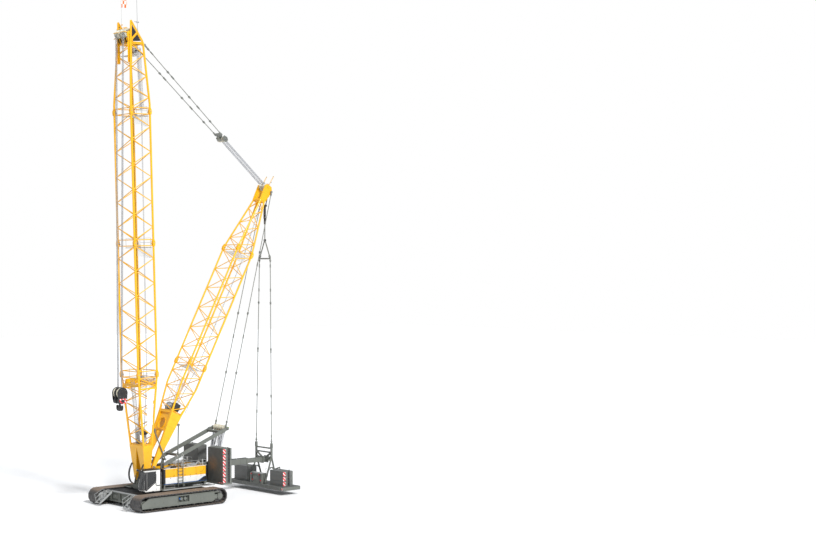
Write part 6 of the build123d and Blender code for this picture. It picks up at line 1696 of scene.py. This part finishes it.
def cab_trim():
    """Dark window surrounds, visor roof, lamps, mirrors, wipers and rails of the cab."""
    s = Shapes()
    y = CAB_SIDE + 0.001
    for k in range(4):
        a, b, c, d = DARK_RIM[k], DARK_RIM[(k + 1) % 4], GLASS_RIM[(k + 1) % 4], GLASS_RIM[k]
        s.plate([a, b, c, d], "y", (y, y + 0.005), BLACK)
    s.box((0.952, 0.972), (y + 0.004, y + 0.024), (1.06, 1.17), BLACK)
    s.tubes([[(0.965, y, 1.25), (0.965, y + 0.035, 1.27), (0.965, y + 0.035, 1.55), (0.965, y, 1.57)]], 0.006,
        BLACK)
    s.piece("door_trim", "door", "cab_white")
    s = Shapes(finish=BLACK)
    for low in (y, CAB_IN - 0.006):             # front pillars, dark like the glass
        s.plate([(1.443, 0.83), (1.596, 0.885), (1.534, 1.69), (1.443, 1.69)], "y", (low, low + 0.005))
    lean = degrees(atan2(0.065, 0.86))
    f = Shapes(moved(1.6045, 0, 0.88, -lean))
    for y0, y1, z0, z1 in ((0.802, 0.852, 0.0, 0.81), (1.248, 1.298, 0.0, 0.81), (0.852, 1.248, 0.0, 0.052),
            (0.852, 1.248, 0.782, 0.81)):
        f.box((-0.003, 0.003), (y0, y1), (z0, z1), BLACK, 0.001)
    f.rod((0.012, 1.02, 0.03), (0.014, 1.16, 0.5), 0.006, BLACK, 8)
    f.rod((0.012, 1.1, 0.25), (0.01, 1.2, 0.62), 0.005, BLACK, 8)
    f.box((0.002, 0.022), (0.98, 1.06), (0.01, 0.05), BLACK, 0.006)
    f.piece("screen_surround", "cab", "cab_trim")
    s.plate([(0.735, 1.742), (1.62, 1.742), (1.7, 1.715), (1.7, 1.728), (1.63, 1.772), (0.735, 1.785)], "y",
        (0.79, 1.318), edge=0.006)
    s.plate(rectangle(0.735, 1.6, 1.728, 1.744), "y", (0.796, 1.32), CAB)
    for y1 in (0.86, 1.25):
        s.box((1.64, 1.69), about(y1, 0.035), (1.765, 1.815), edge=0.008)
        s.turned((1.69, y1, 1.79), AHEAD, [(0, 0.021), (0.004, 0.021), (0.008, 0.016)], CLEAR_LENS, 16)
    s.turned((0.86, 0.88, 1.78), UP, [(0, 0.024), (0.02, 0.024), (0.02, 0.019), (0.06, 0.019), (0.07, 0.01)],
        AMBER_LENS, 16)
    s.turned((0.8, 1.22, 1.78), UP, [(0, 0.018), (0.01, 0.018), (0.012, 0.014), (0.04, 0.014), (0.045, 0.008)],
        GREEN_LENS, 16)
    s.box((0.98, 1.34), (0.93, 1.17), (1.778, 1.802), edge=0.012)
    arm = [(1.56, 1.3, 1.62), (1.62, 1.4, 1.62), (1.63, 1.42, 1.5)]
    s.tubes([arm, [(1.58, 0.8, 1.62), (1.64, 0.735, 1.62), (1.65, 0.72, 1.5)]], 0.007)
    s.plate([(1.385, 1.32), (1.455, 1.32), (1.46, 1.36), (1.455, 1.53), (1.385, 1.53), (1.38, 1.36)], "x",
        (1.622, 1.642), edge=0.006)
    s.plate(rectangle(0.685, 0.745, 1.34, 1.52), "x", (1.64, 1.658), edge=0.006)
    s.tubes([[(0.728, 1.325, 0.8), (0.7, 1.325, 0.84), (0.7, 1.325, 1.6), (0.728, 1.31, 1.64)]], 0.008, RAIL)
    s.box((0.742, 0.93), (y, y + 0.004), (1.02, 1.06), edge=0.002)
    s.box((1.06, 1.17), (y, y + 0.004), (0.795, 0.806), edge=0.001)
    s.box((0.742, 1.5), (CAB_IN - 0.004, CAB_SIDE + 0.004), (0.774, 0.792), edge=0.003)
    for x in (0.8, 0.99, 1.2, 1.4):
        s.box((x, x + 0.02), (CAB_IN + 0.03, CAB_SIDE - 0.03), (0.76, 0.776), FRAME)
    s.piece("cab_fittings", "cab", "cab_trim")


def soft_block(name, box, crown, seams):
    """A stuffed cushion: a block with round corners, sides that pull in and sewn channels across its top."""
    (x0, x1), (y0, y1), (z0, z1) = box
    n, m = 26, 20
    points, faces = [], []
    middle = ((x0 + x1) / 2, (y0 + y1) / 2, (z0 + z1) / 2)
    half = ((x1 - x0) / 2, (y1 - y0) / 2, (z1 - z0) / 2)

    def power(value, exponent):
        return (abs(value) ** exponent) * (1 if value >= 0 else -1)

    points.append(Vector(middle) - Vector((0, 0, half[2])))
    for j in range(1, m):
        b = -pi / 2 + pi * j / m
        for i in range(n):
            a = 2 * pi * i / n
            u = power(cos(b), 0.45) * power(cos(a), 0.5)
            v = power(cos(b), 0.45) * power(sin(a), 0.5)
            w = power(sin(b), 0.45)
            fall = 1 - crown * (u * u + v * v) / 2 * (1 if w > 0 else 0.3)
            groove = sum(0.07 * max(0, 1 - abs(u - seam) / 0.1) for seam in seams) if w > 0.4 else 0
            points.append(Vector((middle[0] + half[0] * u * (1 - 0.05 * (1 - abs(w))),
                middle[1] + half[1] * v * (1 - 0.05 * (1 - abs(w))),
                middle[2] + half[2] * w * (fall - groove))))
    points.append(Vector(middle) + Vector((0, 0, half[2])))
    last = len(points) - 1
    for i in range(n):
        faces.append([0, 1 + (i + 1) % n, 1 + i])
        faces.append([last, last - n + i, last - n + (i + 1) % n])
        for j in range(m - 2):
            a = 1 + j * n
            faces.append([a + i, a + (i + 1) % n, a + n + (i + 1) % n, a + n + i])
    s = Shapes()
    s.add(points, faces, SEAT_CLOTH)
    cushion = s.piece(name, "cab", "cab_trim", smooth=80)


def cab_inside():
    """Seat base, side consoles with levers, pedals and screen; the cushions are pieces of their own."""
    s = Shapes(finish=PLASTIC)
    s.plate([(0.98, 0.802), (1.2, 0.802), (1.16, 0.985), (0.97, 0.985)], "y", (0.985, 1.155), edge=0.008)
    s.plate([(0.935, 1.075), (0.985, 1.075), (0.962, 1.475), (0.925, 1.475)], "y", (1.0, 1.14), edge=0.006)
    s.box((0.95, 1.225), (0.965, 1.175), (0.984, 0.996))
    for y in (0.885, 1.19):
        s.plate([(0.98, 1.08), (1.25, 1.1), (1.27, 1.14), (0.98, 1.15)], "y", (y, y + 0.055), edge=0.008)
        s.box((1.04, 1.12), (y + 0.01, y + 0.045), (0.81, 1.09), edge=0.01)
        s.turned((1.22, y + 0.028, 1.14), (0.1, 0, 1), [(0, 0.016), (0.02, 0.01), (0.05, 0.01), (0.06, 0.017),
            (0.1, 0.019), (0.12, 0.01)], BLACK, 16)
    s.box((1.4, 1.5), (0.9, 1.2), (0.802, 0.818))
    for y in (0.97, 1.05, 1.13):
        s.plate([(1.42, 0.818), (1.5, 0.9), (1.49, 0.91), (1.41, 0.825)], "y", about(y, 0.02), BLACK)
    s.rod((1.44, 0.9, 0.81), (1.46, 0.9, 1.22), 0.012)
    s.plate(rectangle(0.86, 0.98, 1.2, 1.3), "x", (1.445, 1.47), BLACK, 0.006)
    s.box((0.78, 1.54), (0.835, 1.265), (0.8, 0.806))
    s.piece("cab_inside", "cab", "cab_trim", ["cab_interior"])
    soft_block("seat_cushion", ((0.965, 1.225), (0.965, 1.175), (0.998, 1.078)), 0.22, (-0.4, 0.1, 0.55))
    soft_block("seat_back_cushion", ((0.975, 1.035), (0.97, 1.17), (1.085, 1.47)), 0.18, ())


house_panels()
roof_machinery()
winch_drums()
walkway_trim()
cab_trim()
cab_inside()


# ------------------------------------------------ counterweights, A-frame, guide and derrick ballast
WEIGHT_X, WEIGHT_Y, WEIGHT_Z, SLAB = (-3.05, -2.55), (0.4, 1.6), 0.83, 0.27
BALLAST_X, TRAY_TOP, BALLAST_SLAB = -6.175, 0.4, 0.24


def slab_stack(s, x, y, z, count, height, slot, side):
    """What shows on a stack of slabs: striped panels, bright slot edges, lugs, chain and top plates."""
    (x0, x1), (y0, y1) = x, y
    for k in range(count):
        low = z + k * height
        for a, b, proud, gap, finish, edge in ((x1 - 0.148, x1 - 0.006, 0.005, 0.026, HAZARD, 0.003),
                (x1 - 0.15, x1 - 0.24, 0.004, 0.008, CHASSIS, 0.004),
                (x0 + 0.01, x0 + 0.09, 0.004, 0.008, FRAME, 0.004)):
            s.box((a, b), (side * (y1 - 0.01), side * (y1 + proud)), (low + gap, low + height - gap), finish,
                edge)
        s.turned((slot, side * (y1 - 0.035), low + height * 0.5), (0, side, 0),
            [(0, 0.034), (0.012, 0.034), (0.018, 0.026), (0.03, 0.026), (0.034, 0.018)], FORGED, 16)
        for dz in (0.05, height - 0.05):
            s.bolt((x1 - 0.195, side * (y1 + 0.003), low + dz), (0, side, 0), 0.008)
    top = z + count * height
    for px in (x0 + 0.1, x1 - 0.12):
        for py in (y0 + 0.14, y1 - 0.16):
            s.plate(tapered(px, 0.035, top, 0.02, top + 0.05), "y", (side * (py - 0.008), side * (py + 0.008)),
                FRAME)
    links = [[(slot + (0.012 if k % 2 else -0.012), side * (y1 - 0.03), z + 0.03 + 0.045 * k),
        (slot + (-0.012 if k % 2 else 0.012), side * (y1 - 0.022), z + 0.075 + 0.045 * k)]
        for k in range(int((top - z - 0.04) / 0.045))]
    s.tubes(links, 0.009, FORGED, 6)


def counterweight_trim():
    """Both counterweight stacks: striped slabs, stained front plates and dark tops."""
    for side, name in ((1, "left"), (-1, "right")):
        s = Shapes()
        slab_stack(s, WEIGHT_X, WEIGHT_Y, WEIGHT_Z, 6, SLAB, (WEIGHT_X[1] + 2 * WEIGHT_X[0]) / 3, side)
        s.plate(rectangle(side * 1.28, side * 1.585, 0.834, 0.862), "x",
            (WEIGHT_X[1] - 0.002, WEIGHT_X[1] + 0.005), HAZARD)
        s.plate(rectangle(side * 0.41, side * 1.59, 0.9, 2.42), "x", about(WEIGHT_X[1], 0.004), STAINED_GREY)
        s.box((WEIGHT_X[0] + 0.03, WEIGHT_X[1] - 0.03), (side * 0.43, side * 1.57), (2.448, 2.462), FRAME)
        s.piece(f"counterweight_trim_{name}", "superstructure", "weight_grey")


def a_frame_trim():
    """Collars, cable clips, head plates, rope wheels and tail lamps of the A-frame."""
    s = Shapes(A_FRAME)
    length = 3.8161
    for sy in BOTH:
        for z in (0.35, 1.05, 1.75, 2.45, 3.1):
            s.box((-0.077, -0.062), (sy * 0.515, sy * 0.585), (z, z + 0.05), FRAME)
            s.rod((-0.075, sy * 0.55, z + 0.02), (-0.115, sy * 0.55, z + 0.02), 0.011, FRAME, 8)
        s.tubes([[(-0.088, sy * 0.53, 0.2), (-0.088, sy * 0.53, length - 0.2)]], 0.008, HOSE, 6)
        s.box((-0.095, 0.095), (sy * 0.492, sy * 0.608), (length - 0.3, length - 0.16), FRAME, 0.012)
        s.box((-0.085, 0.085), (sy * 0.495, sy * 0.605), (0.22, 0.3), FRAME, 0.008)
        s.turned((0, sy * 0.6, length), (0, sy, 0), [(0, 0.08), (0.012, 0.08), (0.018, 0.068), (0.018, 0.045),
            (0.034, 0.04), (0.034, 0.012)], FRAME)
        s.turned((0, sy * 0.6, 0), (0, sy, 0), [(0, 0.062), (0.01, 0.062), (0.014, 0.052), (0.014, 0.02)],
            STEEL, 20)
        s.box((-0.02, 0.05), (sy * 0.52, sy * 0.58), (length + 0.055, length + 0.085), FRAME)
    s.turned((0.02, 0.565, length + 0.085), UP, [(0, 0.024), (0.02, 0.024), (0.03, 0.014)], AMBER_LENS, 16)
    s.turned((0.06, 0.605, length + 0.03), LEFT, [(0, 0.022), (0.02, 0.022), (0.03, 0.012)], GREEN_LENS, 16)
    s.piece("a_frame_trim", "a_frame", "machine_grey")
    s = Shapes(A_FRAME)
    for sy in BOTH:
        rope_wheel(s, (0, sy * 0.012, length), sy, 0.19, 0.15, 0.022, 5, 36)
        rope_wheel(s, (0, sy * 0.28, length), sy, 0.1, 0.15, 0.022, 3, 36)
    s.piece("a_frame_rope_wheels", "a_frame", "sheave_cream", ["a_frame_sheaves"])


def guide_trim():
    """The guide beam: bolted collars, the thin rail above it, cable tray and the lower pulley block."""
    s = Shapes()
    for x in (-3.4, -4.05, -4.7):
        s.box((x, x + 0.03), (-0.133, 0.133), (1.392, 1.673), FRAME, 0.006)
        for sy in BOTH:
            for z in (1.42, 1.645):
                s.bolt((x + 0.015, sy * 0.133, z), (0, sy, 0), 0.01)
    rails = [[(-3.35, 0.1, 1.72), (-5.02, 0.1, 1.72)]] + [[(x, 0.1, 1.665), (x, 0.1, 1.72)]
        for x in (-3.35, -3.9, -4.45, -5.02)]
    s.tubes(rails, 0.009, MESH)
    s.tubes([[(-2.6, y, 1.674), (-5.05, y, 1.674)] for y in (-0.08, -0.05)], 0.01, HOSE)
    for sy in BOTH:
        rope_wheel(s, (LOW_BLOCK_X, sy * 0.15, LOW_BLOCK_Z), sy, 0.24, 0.085, 0.016, 7, 28)
        s.box((-3.06, -2.96), (sy * 0.392, sy * 0.398), (1.0, 1.2), FRAME, 0.002)
    s.piece("guide_trim", "superstructure", "machine_grey")


def ballast_trim():
    """Derrick ballast: stack trims, lamps on the core box, reflectors, chains, braces and pins of the frame."""
    s = Shapes()
    x0, x1 = BALLAST_X - 0.255, BALLAST_X + 0.345
    for side in BOTH:
        slab_stack(s, (x0, x1), (0.93, 1.95), TRAY_TOP, 3, BALLAST_SLAB, x0 + 0.26, side)
    face = -5.68
    for y in (-0.3, 0.33):
        s.box((face - 0.004, face + 0.012), about(y, 0.035), (0.43, 0.87), BLACK, 0.006)
    for y, z in ((-0.36, 0.835), (-0.25, 0.56), (0.27, 0.835), (0.385, 0.56)):
        s.turned((face + 0.002, y, z), AHEAD, [(0, 0.034), (0.02, 0.034), (0.03, 0.024)], RED_LENS, 20)
    for k in range(4):
        s.box((face - 0.022, face - 0.006), (-0.2 + 0.105 * k, -0.125 + 0.105 * k), (0.52, 0.8), FRAME, 0.006)
        s.rod((face - 0.006, -0.165 + 0.105 * k, 0.6), (face - 0.006, -0.165 + 0.105 * k, 0.72), 0.008, RAIL, 8)
    s.box((-5.98, -5.7), (-0.44, 0.44), (0.89, 0.905), RAIL)
    s.piece("ballast_trim", "ballast", "weight_grey")
    s = Shapes()
    tray = -5.66
    for side in BOTH:
        s.box(about(tray, 0.004), (side * 2.06, side * 2.14), (0.275, 0.345), SIGNAL_RED, 0.002)
        s.box((tray - 0.004, tray + 0.002), (side * 2.04, side * 2.16), (0.258, 0.362), BANNER_WHITE, 0.001)
        s.box((-6.68, -5.67), (side * 2.192, side * 2.2005), (0.235, 0.39), CHASSIS, 0.003)
        for y in (0.72, 1.02, 1.9):
            s.plate([(side * (y - 0.03), 0.262), (side * (y + 0.03), 0.262), (side * (y + 0.03), 0.385),
                (side * (y - 0.03), 0.385)], "x", (tray - 0.002, tray + 0.01), FRAME)
    for k in range(14):
        y = -1.0 + 0.105 * k
        s.plate([(y, 0.23), (y + 0.045, 0.23), (y + 0.015, 0.262)], "x", (tray - 0.001, tray + 0.004), RAIL)
    s.tubes([[(tray + 0.006, -2.19, 0.392), (tray + 0.006, 2.19, 0.392)]], 0.008, FRAME, 6)
    s.piece("ballast_tray_trim", "ballast", "weight_grey")
    s = Shapes()
    for sy in BOTH:
        for z in (1.66, 1.9, 2.1, 2.21):
            s.turned((BALLAST_X - 0.05, sy * 0.61, z), AHEAD, [(0, 0.026), (0.004, 0.03), (0.096, 0.03),
                (0.1, 0.026)], STEEL, 16)
        s.box(about(BALLAST_X, 0.05), (sy * 0.565, sy * 0.655), (1.615, 1.745), FRAME, 0.014)
        for y in (sy * 0.61 - 0.052, sy * 0.61 + 0.034):
            s.plate(tapered(BALLAST_X, 0.052, 2.12, 0.044, 2.345), "y", (y, y + 0.018), FRAME, 0.004)
        for sx in BOTH:
            s.beam((BALLAST_X + sx * 0.19, sy * 0.585, 1.06), (BALLAST_X + sx * 0.02, sy * 0.6, 1.18), 0.05,
                0.05, FRAME)
            s.turned((BALLAST_X + sx * 0.36, sy * 0.5, 0.46), (0, sy, 0),
                [(0, 0.04), (0.12, 0.04), (0.125, 0.03)], STEEL, 16)
        hang = [(BALLAST_X + 0.4, sy * (0.68 + 0.02 * (k % 2)), 0.45 + 0.042 * k) for k in range(17)]
        s.tubes([hang], 0.011, FRAME, 6)
        s.rod((BALLAST_X + 0.36, sy * 0.66, 1.155), (BALLAST_X + 0.44, sy * 0.72, 1.155), 0.016, FRAME, 10)
    for z in (1.9, 2.1):
        for y in (-0.4, 0.0, 0.4):
            s.box(about(BALLAST_X, 0.04), about(y, 0.03), about(z, 0.037), FRAME, 0.006)
    for x in (BALLAST_X - 0.16, BALLAST_X + 0.13):
        s.box((x, x + 0.03), (-0.165, 0.165), (1.36, 1.7), FRAME, 0.01)
    s.piece("ballast_frame_trim", "ballast", "machine_grey")


counterweight_trim()
a_frame_trim()
guide_trim()
ballast_trim()


# ------------------------------------------------ finishes of the solid parts
SOLID_FINISHES = {"crane_yellow": YELLOW, "machine_grey": FRAME, "undercarriage_paint": CHASSIS,
    "track_steel": TRACK_METAL, "weight_grey": WEIGHT_GREY, "house_white": HOUSE, "black_parts": BLACK,
    "sheave_cream": SHEAVE, "steel_rope": ROPE, "grey_steel": RAIL, "cab_white": CAB, "cab_glass": GLASS,
    "cab_trim": PLASTIC, "flag_cloth": FLAG_CLOTH}
# the car body takes the darker grey that holds painted shade
OWN_FINISHES = {"decks": DECK_GRIP, "slew_ring": FORGED, "hook": FORGED, "stay_pendants": PENDANT,
    "back_stays": PENDANT, "ballast_rods": PENDANT, "pull_cylinder": BLACK, "walkways": FRAME,
    "car_body": CAR_GREY_AND_SHADE, "ballast_tray": WEIGHT_GREY}
for row in frame["record"]["subparts"]:
    node = frame["nodes"][row["node"]]
    finish = OWN_FINISHES.get(row["node"], SOLID_FINISHES[row["material_slot"]])
    node.data.materials.clear()
    node.data.materials.append(finish.material)
